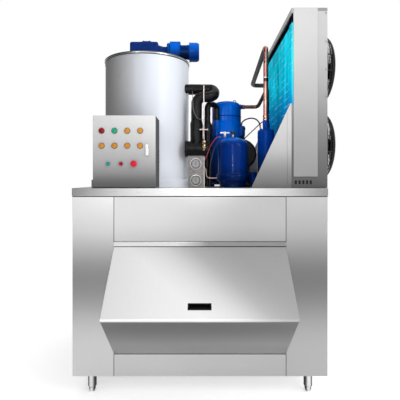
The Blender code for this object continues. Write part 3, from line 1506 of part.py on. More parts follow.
def copper_pipes():
    riser = [
        (SEPARATOR_X, SEPARATOR_Y, SEPARATOR_NECK_TOP + GAP),
        (SEPARATOR_X, SEPARATOR_Y, RISER_TOP),
        (RISER_BACK_X, RISER_BACK_Y, RISER_BACK_HEIGHT),
        (CONDENSER_LEFT - GAP, RISER_BACK_Y, RISER_BACK_HEIGHT),
    ]
    mesh = pipe(riser, RISER_BEND, RISER_RADIUS, 10)
    smooth(place("riser_pipe", mesh, COPPER, (0.0, 0.0, DECK)), 50.0)

    inlet_x = SEPARATOR_X + SEPARATOR_INLET_X
    inlet_y = SEPARATOR_Y + SEPARATOR_INLET_Y
    start = COMPRESSOR_X + COMPRESSOR_CAP_RADIUS + DISCHARGE_STUB_LENGTH + GAP
    discharge = [
        (start, COMPRESSOR_Y, DISCHARGE_HEIGHT),
        (DISCHARGE_TURN_X, COMPRESSOR_Y, DISCHARGE_HEIGHT),
        (inlet_x, inlet_y, DISCHARGE_PEAK),
        (inlet_x, inlet_y, SEPARATOR_INLET_TOP + GAP),
    ]
    mesh = pipe(discharge, DISCHARGE_BEND, DISCHARGE_RADIUS, 8)
    smooth(place("discharge_pipe", mesh, COPPER, (0.0, 0.0, DECK)), 50.0)

    boss = (COMPRESSOR_X + OIL_BOSS_X, COMPRESSOR_Y + OIL_BOSS_Y, OIL_BOSS_TOP + GAP)
    port = (SEPARATOR_X - oil_port_offset(), SEPARATOR_Y, SEPARATOR_HEIGHT + SEPARATOR_RADIUS / 8 + GAP)
    peak = OIL_BOSS_TOP + OIL_TUBE_RADIUS * 9
    arch = curved(
        [
            boss,
            (boss[0], boss[1], boss[2] + OIL_TUBE_RADIUS * 4),
            ((boss[0] * 3 + port[0]) / 4, (boss[1] * 3 + port[1]) / 4, peak - OIL_TUBE_RADIUS),
            ((boss[0] + port[0]) / 2, (boss[1] + port[1]) / 2, peak),
            ((boss[0] + port[0] * 3) / 4, (boss[1] + port[1] * 3) / 4, peak - OIL_TUBE_RADIUS * 3),
            (port[0], port[1], port[2] + OIL_TUBE_RADIUS * 5),
            port,
        ],
        2,
    )
    thin_tube("oil_return_tube", arch, OIL_TUBE_RADIUS, COPPER)

    outlet_x = RECEIVER_X - VALVE_SPACING - VALVE_RADIUS * 2.5 - GAP
    gauge_back = GAUGE_PANEL_Y + GAUGE_BODY_DEPTH + GAP
    drop = capillary_height() - GAUGE_HEIGHTS[0]
    span = RECEIVER_Y - gauge_back
    capillary = curved(
        [
            (outlet_x, RECEIVER_Y, capillary_height()),
            (outlet_x - CAPILLARY_RADIUS * 4, RECEIVER_Y, capillary_height()),
            (outlet_x - drop / 3, RECEIVER_Y - span * 0.2, capillary_height() - drop * 0.2),
            (outlet_x - drop * 0.6, RECEIVER_Y - span * 0.45, capillary_height() - drop * 0.6),
            ((outlet_x + GAUGE_X * 3) / 4, gauge_back + span * 0.25, GAUGE_HEIGHTS[0] + drop * 0.08),
            (GAUGE_X, gauge_back + CAPILLARY_RADIUS * 4, GAUGE_HEIGHTS[0]),
            (GAUGE_X, gauge_back, GAUGE_HEIGHTS[0]),
        ],
        2,
    )
    thin_tube("capillary_tube", capillary, CAPILLARY_RADIUS, RED_PLASTIC)


# Condenser: a folded sheet case, open over the coil on the left and at two round fan openings on the right
COIL_LEFT = CONDENSER_LEFT + CASE_PLATE + GAP
COIL_RIGHT = COIL_LEFT + COIL_THICKNESS
CONDENSER_AT = (0.0, 0.0, DECK)


def condenser_case():
    plate = CASE_PLATE
    outside = block(
        CONDENSER_LEFT, CONDENSER_RIGHT, CONDENSER_FRONT, CONDENSER_BACK, 0.0, CONDENSER_HEIGHT, plate / 2, 2
    )
    inside = block(
        CONDENSER_LEFT + plate,
        CONDENSER_RIGHT - plate,
        CONDENSER_FRONT + plate,
        CONDENSER_BACK - plate,
        plate,
        CONDENSER_HEIGHT - plate,
    )
    coil_window = block(
        CONDENSER_LEFT - plate,
        CONDENSER_LEFT + plate * 2,
        CONDENSER_FRONT + POST_WIDTH,
        CONDENSER_BACK - REAR_POST_WIDTH,
        BOTTOM_FLANGE,
        CONDENSER_HEIGHT - TOP_FLANGE,
    )
    cuts = [inside, coil_window]
    for height in FAN_HEIGHTS:
        at = (0.0, FAN_Y, height)
        cuts.append(
            cylinder(FAN_OPENING_RADIUS, CONDENSER_RIGHT - plate * 2, CONDENSER_RIGHT + plate, 24, 0, at)
        )
    for x in tube_hole_places():
        for lift in (-1, 1):
            at = (x, 0.0, COVER_BOTTOM / 2 + lift * TUBE_HOLE_RADIUS * 0.7)
            cuts.append(
                cylinder(TUBE_HOLE_RADIUS, CONDENSER_FRONT - plate, CONDENSER_FRONT + plate * 2, 6, 1, at)
            )
    mesh = outside
    for cut in cuts:
        mesh = carve(mesh, cut)
    place("condenser_case", mesh, LIGHT_ENAMEL, CONDENSER_AT)


def tube_hole_places():
    first = CONDENSER_LEFT + COVER_LEFT + TUBE_HOLE_RADIUS * 2
    pitch = (COVER_WIDTH * 0.62) / (TUBE_HOLES - 1)
    return [first + pitch * number for number in range(TUBE_HOLES)]


def condenser_coil():
    front = CONDENSER_FRONT + CASE_PLATE + GAP
    back = CONDENSER_BACK - CASE_PLATE - GAP
    pitch = (back - front) / COIL_FINS
    left_face = []
    right_face = []
    left_root = COIL_LEFT + FIN_GROOVE_DEPTH
    right_root = COIL_RIGHT - FIN_GROOVE_DEPTH
    for fin in range(COIL_FINS):
        start = front + fin * pitch
        middle = start + pitch / 2
        left_face += [(COIL_LEFT, start), (COIL_LEFT, middle)]
        right_face += [(COIL_RIGHT, start), (COIL_RIGHT, middle)]
        if fin < COIL_FINS - 1:
            left_face += [(left_root, middle), (left_root, start + pitch)]
            right_face += [(right_root, middle), (right_root, start + pitch)]
    outline = left_face + right_face[::-1]
    mesh = prism(outline, 2, CASE_PLATE + GAP, CONDENSER_HEIGHT - CASE_PLATE - GAP)
    place("condenser_coil", mesh, CYAN_FINS, CONDENSER_AT)


def condenser_end_cover():
    left = CONDENSER_LEFT + COVER_LEFT
    cover = block(
        left,
        left + COVER_WIDTH,
        CONDENSER_FRONT - COVER_THICKNESS - GAP,
        CONDENSER_FRONT - GAP,
        COVER_BOTTOM,
        CONDENSER_HEIGHT - CASE_PLATE / 2,
        COVER_THICKNESS / 4,
    )
    place("condenser_end_cover", cover, LIGHT_ENAMEL, CONDENSER_AT)


def guard_reach(radius):
    """How far the domed guard stands off the fan plate at a distance from its middle."""
    dome = GUARD_PROUD - SHROUD_DEPTH
    edge = SHROUD_RADIUS - GUARD_WIRE / 2
    return SHROUD_DEPTH + dome * (1.0 - (radius / edge) ** 2.4)


def wire_dome():
    """Rings and spokes of the guard as one perforated skin, later given the wire's thickness."""
    shape = bmesh.new()
    half = GUARD_WIRE / 2
    edge = SHROUD_RADIUS - half
    radii = [FAN_MOTOR_RADIUS]
    for ring in range(1, GUARD_RINGS + 1):
        middle = FAN_MOTOR_RADIUS + (edge - FAN_MOTOR_RADIUS) * ring / GUARD_RINGS
        radii += [middle - GUARD_WIRE, middle]
    sector = 2 * math.pi / GUARD_SPOKES
    rows = []
    for radius in radii:
        spoke = math.asin(half / radius)
        row = []
        for number in range(GUARD_SPOKES):
            for angle in (-spoke, spoke, sector / 3, sector * 2 / 3):
                turn = number * sector + angle
                place_at = (guard_reach(radius), radius * math.cos(turn), radius * math.sin(turn))
                row.append(shape.verts.new(place_at))
        rows.append(row)
    count = len(rows[0])
    for band, (inner, outer) in enumerate(zip(rows, rows[1:])):
        is_ring = band % 2 == 1
        for column in range(count):
            following = (column + 1) % count
            if is_ring or column % 4 == 0:
                shape.faces.new((inner[column], inner[following], outer[following], outer[column]))
    shape.faces.new(rows[0])
    bmesh.ops.recalc_face_normals(shape, faces=shape.faces)
    mesh = bpy.data.meshes.new("dome")
    shape.to_mesh(mesh)
    shape.free()
    skin = bpy.data.objects.new("dome", mesh)
    bpy.context.collection.objects.link(skin)
    thicken = skin.modifiers.new("wire", "SOLIDIFY")
    thicken.thickness = GUARD_WIRE
    thicken.offset = 0.0
    depsgraph = bpy.context.evaluated_depsgraph_get()
    solid = bpy.data.meshes.new_from_object(skin.evaluated_get(depsgraph))
    bpy.data.objects.remove(skin, do_unlink=True)
    return solid


def fan_guards():
    inner = SHROUD_RADIUS - SHROUD_WALL
    for name, height in zip(("lower", "upper"), FAN_HEIGHTS):
        shroud = turned(
            [
                (inner, GAP),
                (SHROUD_RADIUS, GAP),
                (SHROUD_RADIUS, SHROUD_DEPTH),
                (inner, SHROUD_DEPTH),
            ],
            20,
            0,
        )
        motor_end = GUARD_PROUD - FAN_MOTOR_LENGTH
        motor = cylinder(FAN_MOTOR_RADIUS * 0.9, motor_end, GUARD_PROUD, 12, 0)
        bore = cylinder(
            FAN_SHAFT_RADIUS + RUNNING, motor_end - GUARD_WIRE, motor_end + FAN_MOTOR_LENGTH / 3, 12, 0
        )
        mesh = carve(fuse(shroud, wire_dome(), motor), bore)
        at = (CONDENSER_RIGHT, FAN_Y, DECK + height)
        smooth(place(f"fan_guard_{name}", mesh, BLACK_PLASTIC, at), 40.0)


def fan_rotor():
    hub_start = SHROUD_DEPTH / 5
    hub_end = hub_start + FAN_HUB_LENGTH
    shaft_end = GUARD_PROUD - FAN_MOTOR_LENGTH * 0.75
    hub = turned(
        [
            (0.0, hub_start),
            (FAN_HUB_RADIUS * 0.9, hub_start),
            (FAN_HUB_RADIUS, hub_end),
            (FAN_SHAFT_RADIUS, hub_end),
            (FAN_SHAFT_RADIUS, shaft_end),
            (0.0, shaft_end),
        ],
        12,
        0,
    )
    middle = (hub_start + hub_end) / 2
    blades = []
    for number in range(FAN_BLADES):
        root = FAN_HUB_RADIUS * 0.7
        sweep = FAN_RADIUS * 0.28
        outline = [
            (-sweep * 0.35, root),
            (sweep * 0.45, root),
            (sweep * 1.2, FAN_RADIUS * 0.55),
            (sweep * 1.25, FAN_RADIUS * 0.88),
            (-sweep * 0.3, FAN_RADIUS * 0.98),
            (-sweep * 0.8, FAN_RADIUS * 0.6),
        ]
        blade = prism(outline, 0, -SHEET / 2, SHEET / 2)
        blade.transform(Matrix.Rotation(math.radians(22), 4, "Z"))
        blade.transform(Matrix.Translation((middle, 0.0, 0.0)))
        blade.transform(Matrix.Rotation(2 * math.pi * number / FAN_BLADES, 4, "X"))
        blades.append(blade)
    return fuse(hub, *blades)


def fans():
    for name, height in zip(("lower", "upper"), FAN_HEIGHTS):
        at = (CONDENSER_RIGHT, FAN_Y, DECK + height)
        smooth(place(f"fan_{name}", fan_rotor(), BLACK_PLASTIC, at), 40.0)


def gusset(name, face, inward):
    """A triangular brace on the deck against the coil side, with two folded flanges behind it."""
    right = CONDENSER_LEFT - GAP
    left = right - GUSSET_REACH
    top = GUSSET_HEIGHT
    web = prism(
        [(left, 0.0), (right, 0.0), (right, top), (right - SHEET * 2, top), (left, SHEET)],
        1,
        face,
        face + inward * SHEET,
    )
    depth = sorted((face + inward * SHEET / 3, face + inward * GUSSET_FLANGE))
    foot = block(left + GUSSET_FLANGE, right, *depth, 0.0, SHEET)
    side = block(right - SHEET, right, *depth, 0.0, GUSSET_HEIGHT - GUSSET_FLANGE)
    place(name, fuse(web, fuse(foot, side)), LIGHT_ENAMEL, CONDENSER_AT)


suction_pipes()
expansion_valve()
copper_pipes()
condenser_case()
condenser_coil()
condenser_end_cover()
fan_guards()
fans()
gusset("gusset_front", CONDENSER_FRONT, 1)
gusset("gusset_rear", CONDENSER_BACK, -1)
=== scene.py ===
import json
import math

import bmesh
import bpy
from mathutils import Matrix, Vector, noise


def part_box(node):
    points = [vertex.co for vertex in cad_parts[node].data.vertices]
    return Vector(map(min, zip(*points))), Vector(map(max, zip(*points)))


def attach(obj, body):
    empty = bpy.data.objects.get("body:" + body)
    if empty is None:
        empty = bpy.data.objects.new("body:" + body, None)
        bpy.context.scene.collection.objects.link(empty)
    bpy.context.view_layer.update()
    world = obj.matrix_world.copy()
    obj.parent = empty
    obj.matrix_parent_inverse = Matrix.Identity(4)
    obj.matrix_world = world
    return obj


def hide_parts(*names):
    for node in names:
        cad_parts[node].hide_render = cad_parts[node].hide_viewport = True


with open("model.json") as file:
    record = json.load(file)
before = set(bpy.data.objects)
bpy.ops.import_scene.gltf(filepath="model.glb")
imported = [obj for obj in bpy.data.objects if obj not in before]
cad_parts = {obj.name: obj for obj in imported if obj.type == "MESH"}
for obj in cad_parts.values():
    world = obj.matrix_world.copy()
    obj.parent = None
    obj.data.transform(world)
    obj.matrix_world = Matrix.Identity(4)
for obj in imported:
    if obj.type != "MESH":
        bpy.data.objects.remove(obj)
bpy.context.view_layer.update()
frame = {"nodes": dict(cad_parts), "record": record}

nodes = frame["nodes"]

# The view: the machine stands on a pale studio floor in soft light from the front and the right.
# Places are metres from the middle of the bin's front, X to the right, Y to the back, Z up from the
# deck on which the ice maker stands.
SLAB_LIP = 0.003
CAMERA_PLACE = (0.0176, -2.3)
CAMERA_HEIGHT = 1.3
FLOOR_HALF = 9
slab_low, slab_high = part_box("top_plate")
MIDDLE_X = (slab_low.x + slab_high.x) / 2
FRONT_Y = slab_low.y + SLAB_LIP
DECK = slab_high.z


def spot(x, y, z=0):
    return Vector((MIDDLE_X + x, FRONT_Y + y, DECK + z))


def put(name, data):
    """Puts an object with its data into the scene."""
    thing = bpy.data.objects.new(name, data)
    bpy.context.scene.collection.objects.link(thing)
    return thing


camera_data = bpy.data.cameras.new("studio_camera")
camera_data.lens = 35.24
camera_data.shift_x, camera_data.shift_y = -0.0075, -0.055
camera = put("studio_camera", camera_data)
camera.location = (*spot(*CAMERA_PLACE).xy, CAMERA_HEIGHT)
camera.rotation_euler = (math.pi / 2, 0, 0)
bpy.context.scene.camera = camera
bpy.context.scene.view_settings.view_transform = "Standard"


def operator(name, swapped=False):
    """The method for one sign of arithmetic: it adds the Math node that works it out."""

    def work(self, other=0):
        first, second = (other, self) if swapped else (self, other)
        return self.finish.node("ShaderNodeMath", {"operation": name}, {0: first, 1: second})

    return work


class Signal:
    """A node's output: an expression on it adds the Math nodes that work it out."""

    __add__ = __radd__ = operator("ADD")
    __sub__, __rsub__ = operator("SUBTRACT"), operator("SUBTRACT", True)
    __mul__ = __rmul__ = operator("MULTIPLY")
    __truediv__, __pow__ = operator("DIVIDE"), operator("POWER")
    __gt__, __lt__ = operator("GREATER_THAN"), operator("LESS_THAN")
    __abs__, larger = operator("ABSOLUTE"), operator("MAXIMUM")

    def __init__(self, finish, socket):
        self.finish, self.socket = finish, socket

    def between(self, start, end, low=0, high=1):
        """Goes softly from low to high as the value goes from start to end."""
        limits = {"From Min": start, "From Max": end, "To Min": low, "To Max": high}
        softly = {"interpolation_type": "SMOOTHSTEP", "clamp": True}
        return self.finish.node("ShaderNodeMapRange", softly, {"Value": self, **limits})

    def spread(self, low, high):
        """Goes from low to high over the middle of a cloud's range."""
        return self.between(0.3, 0.7, low, high)


def rgba(colour):
    """A colour as a node takes it: a signal, a linear colour, or the grey of a step from 0 to 255."""
    if isinstance(colour, Signal):
        return colour
    if isinstance(colour, tuple):
        return (*colour, 1)
    share = colour / 255
    level = share / 12.92 if share <= 0.04045 else ((share + 0.055) / 1.055) ** 2.4
    return (level, level, level, 1)


class Nodes:
    """A node tree, with one way to add a node to it."""

    def __init__(self, tree):
        self.tree = tree

    def connect(self, socket, value):
        if isinstance(value, Signal):
            self.tree.links.new(value.socket, socket)
        else:
            socket.default_value = value

    def node(self, kind, settings, inputs, output=0):
        made = self.tree.nodes.new(kind)
        for key, value in settings.items():
            setattr(made, key, value)
        for key, value in inputs.items():
            self.connect(made.inputs[key], value)
        return Signal(self, made.outputs[output])

    def mix(self, share, first, second, blend="MIX"):
        """A colour between two colours."""
        settings = {"data_type": "RGBA", "blend_type": blend}
        return self.node("ShaderNodeMix", settings, {0: share, 6: rgba(first), 7: rgba(second)}, 2)

    def shade(self, colour, factor):
        """A colour made lighter or darker by a number."""
        return self.mix(1, colour, factor, "MULTIPLY")

    def ramp(self, value, stops, interpolation="LINEAR"):
        """A colour for each value, from (value, colour) stops."""
        made = self.node("ShaderNodeValToRGB", {}, {"Fac": value})
        ramp = made.socket.node.color_ramp
        for number, (place, colour) in enumerate(stops):
            stop = ramp.elements[number] if number < 2 else ramp.elements.new(place)
            stop.position, stop.color = place, rgba(colour)
        ramp.interpolation = interpolation
        return made


# Studio walls: bright in front, on the right and above, darker on the left
SIDE_DARK = 0.08
world = bpy.data.worlds.new("studio_walls")
world.use_nodes = True
bpy.context.scene.world = world
walls = Nodes(world.node_tree)
direction = walls.node("ShaderNodeTexCoord", {}, {}, output="Generated")
sideways = walls.node("ShaderNodeSeparateXYZ", {}, {0: direction}, output=0)
wall_light = sideways.between(-0.85, 0.05, SIDE_DARK, 1)
seen = walls.node("ShaderNodeLightPath", {}, {}, output="Is Camera Ray")
background = world.node_tree.nodes["Background"]
walls.connect(background.inputs["Color"], walls.shade((1, 1, 1), seen.larger(wall_light)))


def softbox(name, place, aim, size, watts, spread=180):
    """A rectangular studio lamp; it isn't seen itself."""
    lamp = bpy.data.lights.new(name, "AREA")
    lamp.shape = "RECTANGLE"
    lamp.size, lamp.size_y = size
    lamp.energy = watts
    lamp.spread = math.radians(spread)
    holder = put(name, lamp)
    holder.location = place
    holder.rotation_euler = (Vector(aim) - Vector(place)).to_track_quat("-Z", "Y").to_euler()
    holder.visible_camera = False


softbox("front_softbox", spot(-0.25, -3, 0.95), spot(0.1, 0.3, 0.3), (0.5, 0.9), 12)
softbox("right_softbox", spot(2.6, -2.4, 1.6), spot(0.1, 0.3, 0.3), (1.2, 1.6), 40)
softbox("coil_softbox", spot(-0.75, -1, 1), spot(0.55, 0.5, 0.7), (0.5, 0.5), 1.3, 60)
softbox("camera_flash", spot(0.02, -2.35, 0.27), spot(0.12, 0.3, 0.32), (0.05, 0.12), 0.11, 24)


class Finish(Nodes):
    """A finish of the machine: a Principled shader and what varies over the surface."""

    def __init__(self, name, colour, roughness, metallic=0, specular=0.5, **fixed):
        self.material = bpy.data.materials.new(name)
        self.material.use_nodes = True
        super().__init__(self.material.node_tree)
        self.shader = self.tree.nodes["Principled BSDF"]
        self.paint(colour)
        fixed |= {"Roughness": roughness, "Metallic": metallic, "Specular_IOR_Level": specular}
        for key, value in fixed.items():
            self.feed(key.replace("_", " "), value)

    def feed(self, name, value):
        self.connect(self.shader.inputs[name], value)

    def paint(self, colour):
        self.feed("Base Color", rgba(colour))

    def place(self, centre=(0, 0, 0), stretch=(1, 1, 1)):
        """The point of the surface, in metres from a centre."""
        where = self.node("ShaderNodeTexCoord", {}, {}, 3)
        shift = self.node("ShaderNodeVectorMath", {"operation": "SUBTRACT"}, {0: where, 1: Vector(centre)})
        return self.node("ShaderNodeMapping", {}, {"Vector": shift, "Scale": stretch})

    def axes(self, centre=(0, 0, 0)):
        point = self.place(centre)
        return [self.node("ShaderNodeSeparateXYZ", {}, {0: point}, output=n) for n in range(3)]

    def noise(self, scale, stretch=(1, 1, 1), detail=3, roughness=0.55):
        inputs = {"Scale": scale, "Detail": detail, "Roughness": roughness}
        return self.node("ShaderNodeTexNoise", {}, {"Vector": self.place(stretch=stretch), **inputs})

    def bump(self, height, depth):
        """Raises the surface by a height from 0 to 1 times a depth in metres."""
        self.feed("Normal", self.node("ShaderNodeBump", {}, {"Height": height, "Distance": depth}))


floor_finish = Finish("studio_floor", 250, 0.95, Emission_Color=(1, 1, 1, 1), Emission_Strength=0.42)
floor_mesh = bmesh.new()
bmesh.ops.create_grid(floor_mesh, x_segments=1, y_segments=1, size=FLOOR_HALF)
floor_data = bpy.data.meshes.new("studio_floor")
floor_mesh.to_mesh(floor_data)
floor_mesh.free()
floor_data.materials.append(floor_finish.material)
studio_floor = put("studio_floor", floor_data)

# Bin shell: walls, front panels and floor of folded stainless sheet over foam, butted together with
# thin seams. The sheet is brushed up and down, and carries a painted reflection of the studio in soft
# bands: bright at the top, dark in the middle and light again near the floor.
SHEET_EDGE = 0.0016
GRAIN_SCALE = 620
body_of = {node: body for body, group in frame["record"]["behaviour"]["bodies"].items() for node in group}


def add_piece(name, shape, finish, body, instead=(), crease=32):
    """Puts a finished bmesh into the scene as one piece that rides on a body."""
    mesh = bpy.data.meshes.new(name)
    shape.to_mesh(mesh)
    shape.free()
    mesh.materials.append(finish.material)
    mesh.shade_smooth()
    mesh.set_sharp_from_angle(angle=math.radians(crease))
    piece = put(name, mesh)
    evened = piece.modifiers.new("evened", "WEIGHTED_NORMAL")
    evened.keep_sharp = True
    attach(piece, body)
    if instead:
        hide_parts(*instead)


def stand_for(node, shape, finish, crease=32):
    """A finer piece shown in place of one CAD node."""
    add_piece(f"{node}_shown", shape, finish, body_of[node], (node,), crease)


def round_off(shape, edges, offset, segments=2, clamp=False):
    """Rounds some edges of a bmesh."""
    bmesh.ops.bevel(
        shape, geom=list(edges), offset=offset, segments=segments, profile=0.5, affect="EDGES", material=-1,
        clamp_overlap=clamp,
    )


def folded_copy(node, edge, segments=2):
    """A CAD node's shape with its corners rounded as folded sheet has them."""
    shape = bmesh.new()
    shape.from_mesh(nodes[node].data)
    bmesh.ops.remove_doubles(shape, verts=shape.verts, dist=1e-5)
    bmesh.ops.dissolve_limit(shape, angle_limit=math.radians(0.5), verts=shape.verts, edges=shape.edges)
    corners = [e for e in shape.edges if e.is_manifold and e.calc_face_angle(0) > math.radians(20)]
    round_off(shape, corners, edge, segments, True)
    return shape


def show_folded(node, finish, edge, segments=2, crease=32):
    """Shows a CAD node with its corners rounded."""
    stand_for(node, folded_copy(node, edge, segments), finish, crease)


def banded_steel(name, bands, fade=0.28, grain=(1, 1, 0.012), reach=(-0.45, 0.8)):
    """Brushed sheet with a painted reflection whose tone changes with the height above the floor, and
    painted shade that dims it to the right.
    """
    finish = Finish(name, 200, 0.3, 1)
    x, _, z = finish.axes()
    low, high = bands[0][0], bands[-1][0]
    stops = [((height - low) / (high - low), level) for height, level in bands]
    # Painted reflection: the tone changes in bands with the height
    colour = finish.ramp((z - low) / (high - low), stops, "B_SPLINE")
    streak = finish.noise(GRAIN_SCALE, grain, 2, 0.6)
    cloud = finish.noise(2.2, detail=1)
    bright = streak.between(0.25, 0.75, 0.982, 1.014) * cloud.spread(0.985, 1.015)
    # Painted shade dims the sheet towards the right
    bright = bright * (x - MIDDLE_X).between(*reach, 1, 1 - fade)
    finish.paint(finish.shade(colour, bright))
    finish.feed("Roughness", streak.between(0.2, 0.8, 0.29, 0.34))
    finish.bump(streak, 0.00001)
    return finish


# Tones of the painted reflection, by height above the floor, for each sheet
left_steel = banded_steel("left_steel", [
    (0.13, 192), (0.3, 190), (0.42, 182), (0.56, 146), (0.7, 124), (0.83, 150), (0.98, 208), (1.2, 255),
], 0)
right_steel = banded_steel("right_steel", [
    (0.13, 165), (0.3, 163), (0.42, 157), (0.56, 127), (0.7, 109), (0.83, 128), (0.98, 174), (1.2, 200),
], 0)
upper_steel = banded_steel(
    "upper_steel", [(0.92, 196), (0.97, 209), (1.03, 224), (1.11, 229), (1.2, 230)], 0.36,
    reach=(-0.62, 0.35),
)
lower_steel = banded_steel("lower_steel", [(0.13, 185), (0.27, 185)], 0.26)
back_steel = banded_steel("back_steel", [(0.13, 190), (0.5, 176), (0.85, 196), (1.2, 222)], 0.05)
for panel, finish in {
    "bin_left_wall": left_steel,
    "bin_right_wall": right_steel,
    "bin_back_wall": back_steel,
    "upper_front_panel": upper_steel,
    "lower_front_panel": lower_steel,
}.items():
    show_folded(panel, finish, SHEET_EDGE)

# Floor and leg sleeves: sheet below the foam, with a tube welded under each corner for the feet
LEG_X = 0.658
SLEEVE_RADIUS = 0.025
SLEEVE_TOP = -1.112


def painted_tube_reflection(finish, radius, shine):
    """Painted reflection of a round tube: dark sides and a bright middle, as on turned or polished tube."""
    beside = finish.axes((MIDDLE_X, 0, 0))[0]
    off = abs(abs(beside) - LEG_X) / radius
    tube = finish.ramp(off, [(0, 226), (0.34, 204), (0.58, 120), (0.8, 60), (1, 40)])
    return finish.shade(tube, shine.spread(0.92, 1.04))


leg_steel = Finish("leg_steel", 190, 0.28, 1)
below = leg_steel.axes(spot(0, 0))[2] < SLEEVE_TOP
# The leg sleeves carry a painted reflection of a round tube
leg_steel.paint(leg_steel.mix(below, 186, painted_tube_reflection(leg_steel, SLEEVE_RADIUS, leg_steel.noise(90))))
show_folded("bin_floor", leg_steel, 0.0006, 1)


# Seams: the sheets butt together with thin gaps; thin black strips along them and under the slab's front
# edge are painted shade for the shadow in the gaps
def mottled(
    name, colour, gloss, scale, metallic=0, stretch=(1, 1, 1), detail=3, depth=0, fine=0.55, **fixed,
):
    """A finish that one cloud may vary: its colour by stops, its gloss between two ends, its height."""
    finish = Finish(name, 128, 0.5, metallic, **fixed)
    cloud = finish.noise(scale, stretch, detail, fine)
    finish.paint(finish.ramp(cloud, colour) if isinstance(colour, list) else colour)
    finish.feed("Roughness", cloud.spread(*gloss) if isinstance(gloss, tuple) else gloss)
    if depth:
        finish.bump(cloud, depth)
    return finish


def block(shape, low, high, edge=0, segments=2):
    """Adds a box between two corners to a bmesh, its edges rounded."""
    low, high = Vector(low), Vector(high)
    place = Matrix.Translation((low + high) / 2) @ Matrix.Diagonal((*(high - low), 1))
    made = bmesh.ops.create_cube(shape, size=1, matrix=place)
    if edge:
        edges = {e for v in made["verts"] for e in v.link_edges}
        round_off(shape, edges, edge, segments)


# Black for painted shade: strips in the gaps between the sheets, and a plate behind the condenser's tube
# holes
painted_shade_black = mottled("painted_shade_black", 34, (0.5, 0.7), 200, specular=0.1)
JOINT = 0.0017
FRONT_HALF = 0.5058
shade_lines = bmesh.new()
lines = [((-0.7498, -0.0519), (0.7498, -0.0484)), ((-FRONT_HALF, -0.9768), (FRONT_HALF, -0.9736))]
for x in (-FRONT_HALF, FRONT_HALF):
    lines += [
        ((x - JOINT, low), (x + JOINT, high))
        for low, high in ((-0.3142, -0.0483), (-1.1058, -0.975))
    ]
for low, high in lines:
    block(shade_lines, spot(low[0], -0.0006, low[1]), spot(high[0], 0.0006, high[1]))
add_piece("joint_shade_lines", shade_lines, painted_shade_black, "machine")

# Hinge rail: a narrow polished strip over the door, which the door's hinge is hung from. A painted
# reflection makes it bright on the left and dark towards the right.
rail_steel = Finish("rail_steel", 200, 0.22, 1)
rail_x = rail_steel.axes((MIDDLE_X, 0, 0))[0]
# Painted reflection: bright on the left, dark towards the right
rail_reflection = rail_steel.ramp(rail_x.between(-0.5, 0.5), [(0, 217), (0.3, 212), (0.58, 143), (1, 140)])
rail_streak = rail_steel.noise(GRAIN_SCALE, (0.02, 1, 1), 2)
rail_steel.paint(rail_steel.shade(rail_reflection, rail_streak.spread(0.96, 1.03)))
rail_steel.bump(rail_streak, 0.00003)
show_folded("hinge_rail", rail_steel, 0.001)

# Nose hood: the folded box that carries the sloping door out over the front; its underside runs back
# to the bin. Painted shade makes it darkest at the lip, where it sees only the floor in front.
hood_steel = banded_steel("hood_steel", [
    (0.26, 190), (0.32, 170), (0.4, 130), (0.48, 101), (0.57, 82), (0.75, 150), (0.9, 190),
], 0.02, (0.012, 1, 1))
show_folded("nose_hood", hood_steel, SHEET_EDGE)

# Sloping door: a foam-filled pan of the same sheet. A painted reflection gives it a bright wall over
# its lower left and a dark one over its upper right, painted shade darkens its lower edge, and it has a
# black moulded pull let into it near the lower edge.
DOOR_DIAGONAL = 1.45
door_steel = Finish("door_steel", 200, 0.26, 1)
door_x, _, door_z = door_steel.axes((MIDDLE_X, 0, 0))
door_low, door_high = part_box("bin_door")
down = (door_high.z - door_z) * DOOR_DIAGONAL
# Painted reflection along the diagonal: a bright wall lower left, a dark one upper right
door_reflection = door_steel.ramp(
    (door_x - down + 0.45) / 0.62, [(0, 250), (0.1, 249), (0.38, 226), (0.64, 178), (1, 163)], "B_SPLINE",
)
door_streak = door_steel.noise(GRAIN_SCALE, (1, 0.012, 0.012), 2, 0.6)
door_cloud = door_steel.noise(1.8, detail=1)
# Painted shade along the door's lower edge
door_edge_shade = (door_z - door_low.z).between(0.003, 0.01, 0.55, 1)
door_grain_and_shade = door_edge_shade * door_streak.between(0.25, 0.75, 0.992, 1.006)
door_grain_and_shade = door_grain_and_shade * door_cloud.spread(0.985, 1.015)
door_steel.paint(door_steel.shade(door_reflection, door_grain_and_shade))
door_steel.feed("Roughness", door_streak.between(0.2, 0.8, 0.27, 0.33))
show_folded("bin_door", door_steel, SHEET_EDGE)

pull_plastic = mottled("pull_plastic", 6, 0.38, 900, detail=2, depth=0.00006, specular=0.12)
show_folded("door_pull", pull_plastic, 0.0012, 3)

# Deck slab: the bin's thick lid, on which the ice maker stands, with soft rolled edges. A painted
# reflection of the studio makes its front edge brightest in the middle, falling off to both ends.
slab_steel = Finish("slab_steel", 240, 0.28, 1)
slab_x = slab_steel.axes((MIDDLE_X, 0, 0))[0]
# Painted reflection: brightest in the middle, darker at both ends
slab_reflection = slab_steel.ramp((slab_x + 0.75) / 1.5, [
    (0, 144), (0.18, 222), (0.4, 240), (0.62, 238), (0.86, 198), (1, 130),
], "B_SPLINE")
slab_streak = slab_steel.noise(GRAIN_SCALE, (0.012, 1, 1), 2)
slab_steel.paint(slab_steel.shade(slab_reflection, slab_streak.spread(0.97, 1.02)))
slab_steel.feed("Roughness", slab_streak.between(0.2, 0.8, 0.24, 0.34))
show_folded("top_plate", slab_steel, 0.003, 3)


def shift(shape, by):
    bmesh.ops.translate(shape, vec=by, verts=shape.verts)


